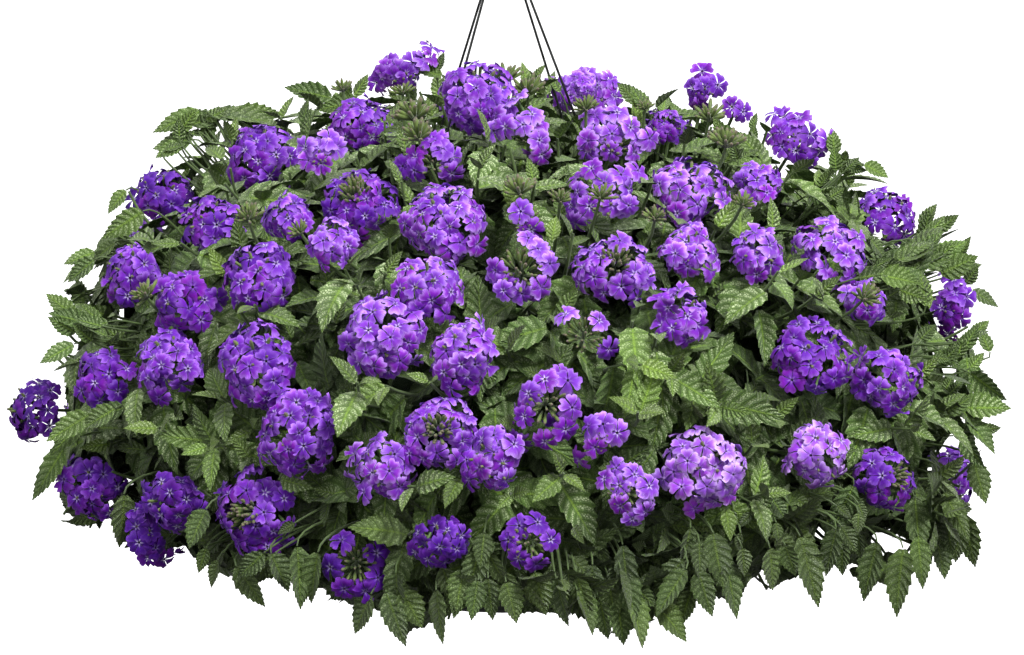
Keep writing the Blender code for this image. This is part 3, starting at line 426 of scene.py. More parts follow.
def part_strangers(heads, groups):
    """Draws in heads of different nodes until they clear each other."""
    owner = {number: index for index, group in enumerate(groups) for number in group}
    for _ in range(PARTING_ROUNDS):
        for first in range(len(heads)):
            for second in range(first):
                if owner[first] == owner[second]:
                    continue
                one, two = heads[first], heads[second]
                apart = (one["at"] - two["at"]).length / PARTING_BULGE - PARTING_GAP
                if one["radius"] + two["radius"] > apart:
                    share = apart / (one["radius"] + two["radius"])
                    one["radius"] *= share
                    two["radius"] *= share


groups = group_heads(heads)
part_strangers(heads, groups)
for head in heads[:len(SEEN_HEADS)]:
    toward = (view_from() - head["at"]).normalized()
    head["axis"] = (head["axis"] + TURNED_TO_VIEW * toward).normalized()
slots = {part["node"]: part["material_slot"] for part in frame["record"]["subparts"]}
furthest = 0.0
for number, group in enumerate(groups, 1):
    low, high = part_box(f"bloom_{number:02d}")
    for k in group:
        at, radius = heads[k]["at"], heads[k]["radius"]
        furthest = max(furthest, *(low[i] - at[i] for i in range(3)), *(at[i] - high[i] for i in range(3)))
print("nodes", len(groups), "with no head's middle further outside than", round(float(furthest), 4))

# %% [markdown]
# ## Building many small things at once
# A bush has thousands of leaves and florets. Objects or instances for each would be slow, so one
# well made leaf or floret is bent and moved into place with arrays, thousands at a time, and all of
# one plant goes into one mesh. The maker keeps a map across each leaf (u) and along it (v), and a
# few numbers on each point for the materials to read.

# %% Make a mesh from arrays
rng = np.random.default_rng(SEED)
collection = bpy.data.collections.new("dressing")
scene.collection.children.link(collection)


class Heap:
    """Points and faces that pile up until they are made into one mesh."""

    def __init__(self):
        self.points, self.faces, self.maps, self.marks = [], [], [], []
        self.count = 0

    def add(self, points, faces, uv, marks):
        """points (n, 3), faces (m, 3), uv (n, 2) and marks: one array of n numbers for each name."""
        self.points.append(points)
        self.faces.append(faces + self.count)
        self.maps.append(uv)
        self.marks.append(marks)
        self.count += len(points)

    def add_copies(self, copies, template, **marks):
        """Copies of one template, (copies, points, 3); a mark has one number a copy or one a point."""
        count, each = copies.shape[:2]
        faces = template[2][None] + (np.arange(count) * each)[:, None, None]
        spread = {
            label: np.broadcast_to(np.reshape(values, (count, -1)), (count, each)).ravel()
            for label, values in marks.items()
        }
        self.add(copies.reshape(-1, 3), faces.reshape(-1, 3), np.tile(template[1], (count, 1)), spread)

    def object(self, name, material):
        points = np.concatenate(self.points).astype(np.float32)
        faces = np.concatenate(self.faces).astype(np.int32)
        uv = np.concatenate(self.maps).astype(np.float32)
        mesh = bpy.data.meshes.new(name)
        mesh.vertices.add(len(points))
        mesh.vertices.foreach_set("co", points.ravel())
        mesh.loops.add(faces.size)
        mesh.loops.foreach_set("vertex_index", faces.ravel())
        mesh.polygons.add(len(faces))
        mesh.polygons.foreach_set("loop_start", np.arange(0, faces.size, 3, dtype=np.int32))
        mesh.polygons.foreach_set("loop_total", np.full(len(faces), 3, np.int32))
        layer = mesh.uv_layers.new(name="lie")
        layer.data.foreach_set("uv", uv[faces.ravel()].ravel())
        for mark in self.marks[0]:
            values = np.concatenate([marks[mark] for marks in self.marks]).astype(np.float32)
            mesh.attributes.new(mark, "FLOAT", "POINT").data.foreach_set("value", values)
        mesh.polygons.foreach_set("use_smooth", np.ones(len(faces), bool))
        mesh.update()
        mesh.validate()
        made = bpy.data.objects.new(name, mesh)
        collection.objects.link(made)
        mesh.materials.append(material)
        return made


print("seed", SEED, "and collection", collection.name)

# %% Turn and join small shapes
def cross_frames(axes, turns):
    """For each axis, two directions square to it, turned about it."""
    axes = unit(axes)
    helper = np.where(np.abs(axes[:, 2:3]) < 0.9, (0.0, 0.0, 1.0), (1.0, 0.0, 0.0))
    first = unit(np.cross(helper, axes))
    second = np.cross(axes, first)
    cos, sin = np.cos(turns)[:, None], np.sin(turns)[:, None]
    return first * cos + second * sin, second * cos - first * sin


def stand(shapes, at, facing, turns):
    """Shapes (copies, points, 3), each stood with its +Z the way it faces, at its own place."""
    first, second = cross_frames(facing, turns)
    sideways = first[:, None] * shapes[..., :1] + second[:, None] * shapes[..., 1:2]
    return at[:, None] + sideways + unit(facing)[:, None] * shapes[..., 2:]


def grid_faces(rows, columns):
    """Triangles between the rows of a grid."""
    faces = []
    for i in range(rows - 1):
        for j in range(columns - 1):
            a = i * columns + j
            faces += [(a, a + 1, a + columns + 1), (a, a + columns + 1, a + columns)]
    return faces


def ring_faces(rings, sides):
    """Triangles between the rings of a tube, as seen from outside when the rings go downward."""
    faces = []
    for ring in range(rings - 1):
        for k in range(sides):
            a, b = ring * sides + k, ring * sides + (k + 1) % sides
            faces += [(a, a + sides, b), (b, a + sides, b + sides)]
    return faces


def ring_points(radius, height, sides):
    turns = [2 * math.pi * k / sides for k in range(sides)]
    return [(radius * math.cos(turn), radius * math.sin(turn), height) for turn in turns]


def hand_over(piece, node=None):
    """Hides the CAD node that a piece takes the place of, and hangs the piece on the whole part's body."""
    if node:
        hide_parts(node)
    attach(piece, "root")


print("a grid of 3 by 3 points has", len(grid_faces(3, 3)), "triangles")

# %% [markdown]
# ## Short words for nodes
# A finish is a tree of nodes, and each node takes a line or more to add, set and link. A few short
# functions make that readable: each adds one node, feeds it with values or with other nodes, and
# gives back what it puts out, so a finish reads from top to bottom like a recipe.

# %% Name the nodes that every finish uses
def add(tree, kind, **settings):
    node = tree.nodes.new(kind)
    for name, value in settings.items():
        setattr(node, name, value)
    return node


def put(tree, target, source):
    """Feeds a socket with another socket, or sets its value."""
    if isinstance(source, bpy.types.NodeSocket):
        tree.links.new(source, target)
    elif isinstance(source, tuple) and len(source) == 3 and target.type == "RGBA":
        target.default_value = (*source, 1.0)
    else:
        target.default_value = source


def calc(tree, operation, *values, clamp=False):
    node = add(tree, "ShaderNodeMath", operation=operation, use_clamp=clamp)
    for socket, value in zip(node.inputs, values):
        put(tree, socket, value)
    return node.outputs[0]


def blend_colours(tree, part, first, second, how="MIX"):
    node = add(tree, "ShaderNodeMix", data_type="RGBA", blend_type=how)
    put(tree, node.inputs[0], part)
    put(tree, node.inputs[6], first)
    put(tree, node.inputs[7], second)
    return node.outputs[2]


def step_between(tree, value, low, high, low_out=0.0, high_out=1.0):
    """A smooth step from low_out to high_out as the value goes from low to high."""
    node = add(tree, "ShaderNodeMapRange", interpolation_type="SMOOTHSTEP")
    for socket, number in zip(node.inputs, (value, low, high, low_out, high_out)):
        put(tree, socket, number)
    return node.outputs[0]


def mark(tree, name):
    return add(tree, "ShaderNodeAttribute", attribute_name=name).outputs["Fac"]


def object_place(tree):
    """Where a point lies on its own object: a pattern fixed to this stays when the object moves."""
    return add(tree, "ShaderNodeTexCoord").outputs["Object"]


def lie_of(tree):
    """The two numbers of the map: across a petal or leaf, from 0 to 1, and along it."""
    lie = add(tree, "ShaderNodeSeparateXYZ")
    put(tree, lie.inputs[0], add(tree, "ShaderNodeUVMap", uv_map="lie").outputs[0])
    return lie.outputs[0], lie.outputs[1]


def off_middle(tree, across):
    """0 on the middle line of a petal or leaf and 1 at its edges."""
    return calc(tree, "ABSOLUTE", calc(tree, "SUBTRACT", calc(tree, "MULTIPLY", across, 2.0), 1.0))


def noise_of(tree, scale, detail):
    noise = add(tree, "ShaderNodeTexNoise")
    put(tree, noise.inputs["Vector"], object_place(tree))
    put(tree, noise.inputs["Scale"], scale)
    noise.inputs["Detail"].default_value = detail
    return noise.outputs[0]


print("the map of each mesh is called lie, for how a point lies on its petal or leaf")

# %% [markdown]
# ## Shared node groups
# Two effects turn up in nearly every finish. "Mottle" is the soft change of colour from place to
# place that living and moulded things have. "Grain" is fine relief that breaks up the gloss. Each
# is made once as a group with named sockets and placed in each material with its own values.

# %% Make the shared groups
MOTTLE_DETAIL = 3.0
MOTTLE_EDGES = (0.32, 0.68)
GRAIN_DETAIL = 2.0


def new_group(name, inputs, outputs):
    tree = bpy.data.node_groups.new(name, "ShaderNodeTree")
    for label, kind, value in inputs:
        socket = tree.interface.new_socket(name=label, in_out="INPUT", socket_type=kind)
        socket.default_value = value
    for label, kind in outputs:
        tree.interface.new_socket(name=label, in_out="OUTPUT", socket_type=kind)
    return tree, tree.nodes.new("NodeGroupInput"), tree.nodes.new("NodeGroupOutput")


def make_mottle():
    tree, given, result = new_group(
        "mottle",
        [("Colour", "NodeSocketColor", (0.5, 0.5, 0.5, 1.0)), ("Scale", "NodeSocketFloat", 40.0),
         ("Amount", "NodeSocketFloat", 0.3)],
        [("Colour", "NodeSocketColor"), ("Mask", "NodeSocketFloat")],
    )
    mask = step_between(tree, noise_of(tree, given.outputs["Scale"], MOTTLE_DETAIL), *MOTTLE_EDGES)
    shift = calc(tree, "MULTIPLY", calc(tree, "SUBTRACT", mask, 0.5), given.outputs["Amount"])
    hue = add(tree, "ShaderNodeHueSaturation")
    put(tree, hue.inputs["Color"], given.outputs["Colour"])
    put(tree, hue.inputs["Value"], calc(tree, "ADD", shift, 1.0))
    put(tree, result.inputs["Colour"], hue.outputs[0])
    put(tree, result.inputs["Mask"], mask)
    return tree


def make_grain():
    tree, given, result = new_group(
        "grain",
        [("Scale", "NodeSocketFloat", 800.0), ("Strength", "NodeSocketFloat", 0.2),
         ("Depth", "NodeSocketFloat", 0.0002), ("Relief", "NodeSocketFloat", 0.0)],
        [("Normal", "NodeSocketVector"), ("Height", "NodeSocketFloat")],
    )
    noise = noise_of(tree, given.outputs["Scale"], GRAIN_DETAIL)
    height = calc(tree, "ADD", noise, given.outputs["Relief"])
    bump = add(tree, "ShaderNodeBump")
    put(tree, bump.inputs["Strength"], given.outputs["Strength"])
    put(tree, bump.inputs["Distance"], given.outputs["Depth"])
    put(tree, bump.inputs["Height"], height)
    put(tree, result.inputs["Normal"], bump.outputs[0])
    put(tree, result.inputs["Height"], height)
    return tree


MOTTLE, GRAIN = make_mottle(), make_grain()


def placed(tree, group, **values):
    node = tree.nodes.new("ShaderNodeGroup")
    node.node_tree = group
    for name, value in values.items():
        put(tree, node.inputs[name], value)
    return node.outputs


def new_material(name, roughness, **constants):
    made = bpy.data.materials.new(name)
    made.use_nodes = True
    shader = made.node_tree.nodes["Principled BSDF"]
    shader.inputs["Roughness"].default_value = roughness
    for label, value in constants.items():
        shader.inputs[label.replace("_", " ")].default_value = value
    return made, made.node_tree, shader


def skin(tree, shader, colour, mottle, grain, roughness=None):
    """Mottles a colour, puts grain on it and lets its roughness differ where the mottle does."""
    mottled = placed(tree, MOTTLE, Colour=colour, **mottle)
    put(tree, shader.inputs["Base Color"], mottled["Colour"])
    put(tree, shader.inputs["Normal"], placed(tree, GRAIN, **grain)["Normal"])
    if roughness:
        put(tree, shader.inputs["Roughness"], step_between(tree, mottled["Mask"], 0.0, 1.0, *roughness))


print("groups", MOTTLE.name, GRAIN.name)

# %% [markdown]
# ## The leaf's finish
# A verbena leaf is matt, mid green and puckered: a pale line follows the midrib, the side veins lie
# low and dark, the flesh between them swells and has a silvery painted highlight, and a fine net of
# veins roughens it. The map along and across each blade gives all of that without a picture. Young
# leaves at the tips are yellower, and those deep inside are darkened with painted shade.

# %% Make the leaf's material
VEINS = 8
TOOTH = 0.72
SIDE_VEIN_EDGES = (0.03, 0.15)
RIB_EDGES = (0.02, 0.11)
SWELL_FROM_VEIN = (0.10, 0.42)
SWELL_FROM_RIB = (0.04, 0.30)
VEIN_NET = 560.0
NET_EDGES = (0.02, 0.20)
PAINTED_HIGHLIGHT_SPAN = (0.7, 0.25)


def leaf_material(name, flesh, young, shade_and_vein, silver):
    made, tree, shader = new_material(
        name, 0.5, Sheen_Weight=0.10, Sheen_Roughness=0.5, Specular_IOR_Level=0.40
    )
    across, along = lie_of(tree)
    across = off_middle(tree, across)
    veins = calc(tree, "FRACT", calc(tree, "MULTIPLY_ADD", along, float(VEINS), 1.0 - TOOTH))
    off_vein = calc(tree, "SUBTRACT", 0.5, calc(tree, "ABSOLUTE", calc(tree, "SUBTRACT", veins, 0.5)))
    side_vein = step_between(tree, off_vein, *SIDE_VEIN_EDGES, 1.0, 0.0)
    rib = step_between(tree, across, *RIB_EDGES, 1.0, 0.0)
    swell = step_between(tree, off_vein, *SWELL_FROM_VEIN)
    swell = calc(tree, "MULTIPLY", swell, step_between(tree, across, *SWELL_FROM_RIB))
    net = add(tree, "ShaderNodeTexVoronoi", feature="DISTANCE_TO_EDGE")
    put(tree, net.inputs["Vector"], object_place(tree))
    net.inputs["Scale"].default_value = VEIN_NET
    net_lines = step_between(tree, net.outputs["Distance"], *NET_EDGES, 1.0, 0.0)
    # Painted highlight: a silvery colour is laid on the swollen flesh between the veins, more on some leaves
    # than on others.
    highlight_on_swell = calc(tree, "MULTIPLY", swell, calc(tree, "SUBTRACT", 1.0, net_lines))
    painted_highlight_strength = calc(tree, "MULTIPLY_ADD", mark(tree, "silver"), *PAINTED_HIGHLIGHT_SPAN)
    base = blend_colours(tree, mark(tree, "age"), flesh, young)
    base = blend_colours(tree, calc(tree, "MULTIPLY", highlight_on_swell, painted_highlight_strength), base, silver)
    # Painted shade: leaves deep in the bush are blended towards the dark colour.
    base = blend_colours(tree, mark(tree, "shade"), base, shade_and_vein)
    for lines, strength, colour in ((side_vein, 0.34, shade_and_vein), (net_lines, 0.45, shade_and_vein), (rib, 0.45, young)):
        base = blend_colours(tree, calc(tree, "MULTIPLY", lines, strength), base, colour)
    relief = calc(tree, "MULTIPLY", swell, 1.6)
    for lines, depth in ((side_vein, 1.2), (net_lines, 0.7)):
        relief = calc(tree, "SUBTRACT", relief, calc(tree, "MULTIPLY", lines, depth))
    grain = {"Scale": 1500.0, "Strength": 0.75, "Depth": 0.0007, "Relief": relief}
    skin(tree, shader, base, {"Scale": 24.0, "Amount": 0.60}, grain, (0.38, 0.58))
    return made


# Each finish with its flesh colour, its young colour, a dark colour for painted shade and the veins, and a
# painted highlight colour.
LEAF_GREEN = leaf_material(
    "leaf_green", flesh=(0.088, 0.172, 0.020), young=(0.235, 0.375, 0.040),
    shade_and_vein=(0.012, 0.030, 0.005), silver=(0.440, 0.530, 0.290),
)
LEAF_SHADED = leaf_material(
    "leaf_green_shaded", flesh=(0.055, 0.105, 0.011), young=(0.140, 0.220, 0.020),
    shade_and_vein=(0.008, 0.018, 0.003), silver=(0.230, 0.300, 0.140),
)
print("made", LEAF_GREEN.name, LEAF_SHADED.name)

# %% [markdown]
# ## One leaf
# The blade is egg shaped with a drawn-out tip, and its edge is cut into coarse teeth that point
# forward. A flat outline with a picture on it would look like paper. Here the rows of points follow
# the side veins: each vein ends in a tooth and lies low, and the flesh between two veins stands up.

# %% Shape the leaf
FOOT_FULLNESS = 0.60
TIP_FULLNESS = 1.10
WIDEST_PART = 0.353
BLADE_START = 0.02
BLADE_LENGTH = 0.96
VEIN_SLANT = 0.19
TOOTH_OUT = 1.06
NOTCH_IN = 0.87
TIP_MARGIN = (0.010, 0.985)
EDGE_POINT = 0.99
FLESH_UP, TOOTH_DOWN, RIB_DOWN = 0.030, -0.010, -0.016
TOOTH_FORWARD, NOTCH_FORWARD = 0.020, -0.002


def half_width(part):
    """1 where the blade is widest, and less towards its foot and its tip."""
    wide = part**FOOT_FULLNESS * (1.0 - part) ** TIP_FULLNESS
    return wide / (WIDEST_PART**FOOT_FULLNESS * (1.0 - WIDEST_PART) ** TIP_FULLNESS)


def leaf_template(veins, columns):
    """Points (along, across, high), map and faces of a blade one unit long and one to each side.

    Rows go in pairs: a notch, and then the tooth that the next vein ends in, far forward of it."""
    across = np.linspace(-1.0, 1.0, columns)
    points, uv = [], []
    for vein in range(veins):
        for tooth in (False, True):
            row = (vein + (TOOTH if tooth else 0.0)) / veins
            start = BLADE_START + BLADE_LENGTH * row
            for c in across:
                out = abs(c)
                along = start + VEIN_SLANT * out * 4.0 * row * (1.0 - row)
                wide = half_width(min(max(along, TIP_MARGIN[0]), TIP_MARGIN[1]))
                if out > EDGE_POINT:
                    wide *= TOOTH_OUT if tooth else NOTCH_IN
                    along += TOOTH_FORWARD if tooth else NOTCH_FORWARD
                swell = (TOOTH_DOWN if tooth else FLESH_UP) * math.sin(math.pi * out) * wide
                rib = RIB_DOWN * (1.0 - out) ** 3 * wide
                points.append((along, c * wide, swell + rib))
                uv.append((0.5 + 0.5 * c, row))
    rows = 2 * veins
    faces = grid_faces(rows, columns)
    points.append((1.0, 0.0, 0.0))
    uv.append((0.5, 1.0))
    first = (rows - 1) * columns
    for j in range(columns - 1):
        faces.append((first + j, first + j + 1, len(points) - 1))
    return np.array(points), np.array(uv), np.array(faces)


FINE_LEAF = leaf_template(VEINS, 5)
BACK_LEAF = leaf_template(VEINS, 3)
PLAIN_LEAF = leaf_template(6, 3)
DEEP_LEAF = leaf_template(3, 3)
print("triangles in a leaf", [len(leaf[2]) for leaf in (FINE_LEAF, BACK_LEAF, PLAIN_LEAF, DEEP_LEAF)])

# %% [markdown]
# ## Many bent leaves at once
# No two leaves of a bush lie alike. Each has a foot, a way it points and a way its face is turned,
# and it droops, folds along its midrib and ripples at its edge by its own amounts. Written with
# arrays, one formula bends thousands of them in a moment.

# %% Bend the leaves
LEAST_DROOP = 0.02
RIPPLES = 9.0
RIPPLE_SHIFT = 1.2


def bend_leaves(template, leaves):
    """The blade bent onto each of many places: an array of (leaves, points, 3)."""
    shape, up, along = template[0], leaves["up"], leaves["along"]
    side = unit(np.cross(up, along))
    up = np.cross(along, side)
    droop = np.maximum(leaves["droop"], LEAST_DROOP)[:, None]
    bend = droop * shape[:, 0]
    reach = (np.sin(bend) / droop)[..., None]
    drop = ((1.0 - np.cos(bend)) / droop)[..., None]
    lifted = up[:, None] * np.cos(bend)[..., None] + along[:, None] * np.sin(bend)[..., None]
    out = shape[:, 1] * (leaves["wide"] / 2)[:, None]
    fold = leaves["fold"][:, None]
    phase = leaves["wave"][:, 1:2] + RIPPLES * shape[:, 0] + RIPPLE_SHIFT * np.sign(shape[:, 1])
    ripple = leaves["wave"][:, :1] * np.sin(phase) * (np.abs(shape[:, 1]) ** 2)
    rise = np.abs(out) * np.sin(fold) + shape[:, 2] + ripple
    flat = along[:, None] * reach - up[:, None] * drop + side[:, None] * (out * np.cos(fold))[..., None]
    return leaves["base"][:, None] + leaves["length"][:, None, None] * (flat + lifted * rise[..., None])


def leaves_chosen(leaves, chosen):
    return {part: values[chosen] for part, values in leaves.items()}


print("a leaf has a base, a way along, a way up, a length, a width, a fold, a droop and a wave")


# %% [markdown]
# ## Shoots of leaves
# Verbena leaves grow in pairs, each pair square to the one below, and close up into a rosette at
# the tip. A shoot is a line into the bush with three or four such pairs. Shoots stand at several
# depths, so that between the outer leaves one sees darker ones, and never a bare surface. What
# would grow through a flower, a wire or the pot is left out.

# %% Plan the shoots
OUTER_SHOOTS = 1300
LOW_SHOOTS = 520
SHOOTS = OUTER_SHOOTS + LOW_SHOOTS
SHOOT_DEPTHS = (0.016, 0.026, 0.038, 0.056, 0.056)
LOW_REACH = (0.10, 0.58)
TURNS_DOWN_OVER = 0.12
LIFT = np.array((0.0, 0.0, 0.30))
HANG = np.array((0.0, 0.0, 0.55))
SPIRAL_SPREAD, DEPTH_JITTER, SHOOT_LEAN = 0.035, (-0.006, 0.012), 0.26


def plan_shoots():
    outer = unit(spiral(OUTER_SHOOTS) + rng.normal(0.0, SPIRAL_SPREAD, (OUTER_SHOOTS, 3)))
    turn = rng.uniform(0.0, 2 * math.pi, LOW_SHOOTS)
    low = np.stack([np.cos(turn), np.sin(turn), -rng.uniform(*LOW_REACH, LOW_SHOOTS)], axis=-1)
    directions = np.concatenate([outer, unit(low)])
    depth = np.array(SHOOT_DEPTHS)[np.arange(SHOOTS) % len(SHOOT_DEPTHS)]
    depth = depth + rng.uniform(*DEPTH_JITTER, SHOOTS)
    at = onto_mound(directions)
    normal = mound_normal(at)
    at = at - normal * depth[:, None]
    below = np.clip((MOUND_MIDDLE - at[:, 2]) / TURNS_DOWN_OVER, 0.0, 1.0)[:, None]
    lean = rng.normal(0.0, SHOOT_LEAN, (SHOOTS, 3))
    axis = unit(normal + LIFT * (1.0 - below) - HANG * below + lean)
    return at, axis, depth


shoot_at, shoot_axis, shoot_depth = plan_shoots()
print("shoots", SHOOTS)

# %% Plan the leaves of each shoot
# Each pair from the tip down: how far below the tip, its size, how far it opens in degrees, how it
# sags and droops, and how young its green is.
PAIRS = (
    {"under": 0.000, "scale": 0.48, "opening": 34.0, "sag": 0.08, "droop": 0.5, "age": 0.62},
    {"under": 0.007, "scale": 0.80, "opening": 60.0, "sag": 0.26, "droop": 0.8, "age": 0.30},
    {"under": 0.018, "scale": 1.0, "opening": 78.0, "sag": 0.46, "droop": 1.0, "age": 0.10},
    {"under": 0.034, "scale": 1.0, "opening": 92.0, "sag": 0.62, "droop": 1.1, "age": 0.0},
)
LEAF_LENGTH = (0.042, 0.062)
LEAF_WIDTH = (0.43, 0.56)
LENGTH_SPAN = (0.88, 1.08)
LEAF_FOLD, LEAF_DROOP, LEAF_WAVE = (0.06, 0.42), (0.25, 0.95), (0.008, 0.030)
OFF_THE_STEM = 0.0012
FACE_UP = np.array((0.0, 0.0, 0.15))


def square_to(vectors, axes):
    """Vectors with what runs along the axes taken away."""
    return vectors - axes * np.sum(vectors * axes, axis=1)[:, None]


def leaves_of_shoots():
    """Every leaf as arrays, each with the number and the depth of its shoot."""
    rows = []
    turn = rng.uniform(0.0, math.pi, SHOOTS)
    size = rng.uniform(*LEAF_LENGTH, SHOOTS)
    for number, pair in enumerate(PAIRS):
        under = pair["under"] + rng.uniform(0.0, 0.003, SHOOTS)
        scale = pair["scale"] * rng.uniform(0.9, 1.1, SHOOTS)
        opening = np.radians(pair["opening"] + rng.uniform(-9.0, 9.0, SHOOTS))
        quarter_turn = number * math.pi / 2
        first, _ = cross_frames(shoot_axis, turn + quarter_turn + rng.uniform(-0.2, 0.2, SHOOTS))
        for side in (1.0, -1.0):
            away = first * side
            length = size * scale * rng.uniform(*LENGTH_SPAN, SHOOTS)
            open_by = (opening + rng.uniform(-0.12, 0.12, SHOOTS))[:, None]
            along = shoot_axis * np.cos(open_by) + away * np.sin(open_by)
            along = unit(along - np.array((0.0, 0.0, pair["sag"])))
            up = unit(square_to(shoot_axis, along) + FACE_UP)
            droop = rng.uniform(*LEAF_DROOP, SHOOTS) * pair["droop"]
            wave = np.stack([rng.uniform(*LEAF_WAVE, SHOOTS), rng.uniform(0.0, 6.28, SHOOTS)], axis=-1)
            rows.append({
                "base": shoot_at - shoot_axis * under[:, None] + away * OFF_THE_STEM,
                "along": along, "up": unit(square_to(up, along)), "length": length,
                "droop": droop, "wave": wave, "fold": rng.uniform(*LEAF_FOLD, SHOOTS),
                "wide": rng.uniform(*LEAF_WIDTH, SHOOTS),
                "age": pair["age"] * rng.uniform(0.3, 1.2, SHOOTS),
                "depth": shoot_depth, "shoot": np.arange(SHOOTS),
            })
    return {part: np.concatenate([row[part] for row in rows]) for part in rows[0]}


planned = leaves_of_shoots()
print("leaves planned", len(planned["base"]))

# %% [markdown]
# ## What leaves keep clear of
# Nothing stops a planned leaf from going through a flower, a wire or the pot, or from hiding a
# head that the photograph shows. Meshes could be tested against each other, but here each thing
# is simple enough for a formula: a ball with a cap for a head, a line for a wire, a drum for the
# pot. A leaf with one point in any of them is left out.

# %% Leave out what would be in the way
all_heads = heads + more_heads
head_at = np.array([tuple(head["at"]) for head in all_heads])
head_axis = np.array([tuple(head["axis"]) for head in all_heads])
head_radius = np.array([max(head["radius"], head["full"]) for head in all_heads])
POT_ROOM = 0.157
POT_ROOM_LOW, POT_ROOM_HIGH = -0.584, -0.404
MOST_OUT = 1.06
MOST_OUT_BELOW = 1.15
BELOW_FROM = -0.5
LOWEST_LEAF = -0.626
LEAF_WIRE_ROOM = 0.0035
NEAR_A_HEAD = 0.09
HEAD_BALL = 0.93
HEAD_CAP_FROM = 0.2
HEAD_CAP_WIDE = 0.80
BEFORE_BY = 0.16
BEFORE_WIDE = 0.74


def before_a_head(points):
    """Which points would hide the middle of a head that the photograph shows."""
    eye = np.array(view_from())
    hides = np.zeros(len(points), bool)
    for at, radius in zip(head_at[:len(SEEN_HEADS)], head_radius):
        toward = unit(eye - at)
        offset = points - at
        ahead = offset @ toward
        beside = np.sqrt(np.maximum((offset**2).sum(axis=1) - ahead**2, 0.0))
        hides |= (ahead > 0.0) & (ahead < BEFORE_BY) & (beside < BEFORE_WIDE * radius)
    return hides


def in_the_way(blades):
    """Which of the blades, as (leaves, points, 3), cross a head, a wire, the pot or the outside."""
    flat = blades.reshape(-1, 3)
    height = flat[:, 2]
    bad = mound_level(flat) > np.where(height < BELOW_FROM, MOST_OUT_BELOW, MOST_OUT)
    bad |= height < LOWEST_LEAF
    bad |= wire_distance(flat) < LEAF_WIRE_ROOM
    over_pot = np.hypot(flat[:, 0], flat[:, 1]) < POT_ROOM
    bad |= over_pot & (height > POT_ROOM_LOW) & (height < POT_ROOM_HIGH)
    for at, axis, radius in zip(head_at, head_axis, head_radius):
        near = np.abs(flat - at).max(axis=1) < NEAR_A_HEAD
        offset = flat[near] - at
        gap = np.linalg.norm(offset, axis=1)
        high = offset @ axis
        beside = np.sqrt(np.maximum(gap**2 - high**2, 0.0))
        hit = gap < HEAD_BALL * radius
        hit |= (high > HEAD_CAP_FROM * radius) & (beside < HEAD_CAP_WIDE * radius)
        index = np.nonzero(near)[0]
        bad[index[hit]] = True
    bad |= before_a_head(flat)
    return bad.reshape(len(blades), -1).any(axis=1)


print("heads to keep clear of", len(all_heads))

# %% [markdown]
# ## The outline
# The photograph shows the bush's own uneven outline: higher on the left underneath, full on the
# right. Its corners are listed here in picture places, and a leaf that would show outside them by
# more than a little is left out. From other sides the mound formula alone decides.

# %% Keep the leaves within the outline
OUTLINE = np.array((
    (28, 503), (46, 455), (66, 440), (60, 372), (38, 363), (68, 340), (44, 330), (44, 290), (70, 306),
    (62, 283), (62, 262), (94, 247), (102, 236), (138, 210), (104, 214), (118, 184), (160, 160),
    (150, 131), (176, 112), (229, 105), (284, 100), (284, 86), (330, 86), (370, 72), (378, 96),
    (400, 80), (440, 62), (444, 51), (480, 64), (505, 62), (546, 62), (560, 78), (616, 74), (640, 86),
    (660, 100), (676, 84), (694, 72), (702, 100), (756, 113), (768, 110), (828, 126), (836, 140),
    (858, 156), (892, 176), (925, 200), (944, 210), (962, 212), (952, 228), (976, 236), (972, 256),
    (982, 262), (976, 284), (1001, 305), (974, 320), (990, 330), (988, 352), (978, 366), (1008, 402),
    (1010, 408), (990, 420), (996, 452), (980, 450), (984, 470), (976, 482), (990, 497), (972, 500),
    (978, 566), (950, 556), (947, 578), (928, 560), (924, 588), (906, 570), (893, 613), (880, 580),
    (864, 598), (858, 558), (848, 556), (840, 574), (834, 556), (824, 572), (823, 610), (808, 580),
    (794, 572), (762, 614), (760, 580), (745, 574), (739, 617), (724, 594), (711, 614), (690, 596),
    (688, 637), (660, 616), (646, 644), (636, 620), (624, 642), (607, 639), (594, 630), (580, 606),
    (566, 622), (545, 612), (524, 604), (518, 619), (506, 600), (498, 598), (490, 606), (480, 610),
    (470, 599), (456, 609), (441, 641), (428, 596), (422, 626), (405, 643), (384, 604), (352, 632),
    (348, 594), (327, 617), (330, 574), (317, 592), (304, 605), (292, 574), (288, 591), (262, 566),
    (262, 605), (238, 579), (224, 568), (212, 588), (206, 562), (199, 573), (196, 548), (186, 540),
    (174, 545), (165, 564), (124, 549), (116, 500), (99, 535), (60, 522), (60, 460),
), float)


def picture_places(points):
    """Where points show in the picture, across and down."""
    offset = np.asarray(points, float) - np.array(view_from())
    scale = VIEW_DISTANCE / PICTURE_PITCH / (offset @ VIEW_FORWARD)
    return PICTURE_MIDDLE[0] + offset[:, 0] * scale, PICTURE_MIDDLE[1] - (offset @ VIEW_UPWARD) * scale


def outside_outline(points):
    across, down = picture_places(points)
    inside = np.zeros(len(points), bool)
    for (x1, y1), (x2, y2) in zip(OUTLINE, np.roll(OUTLINE, -1, axis=0)):
        if y1 != y2:
            crosses = (y1 > down) != (y2 > down)
            inside ^= crosses & (across < (x2 - x1) * (down - y1) / (y2 - y1) + x1)
    return ~inside


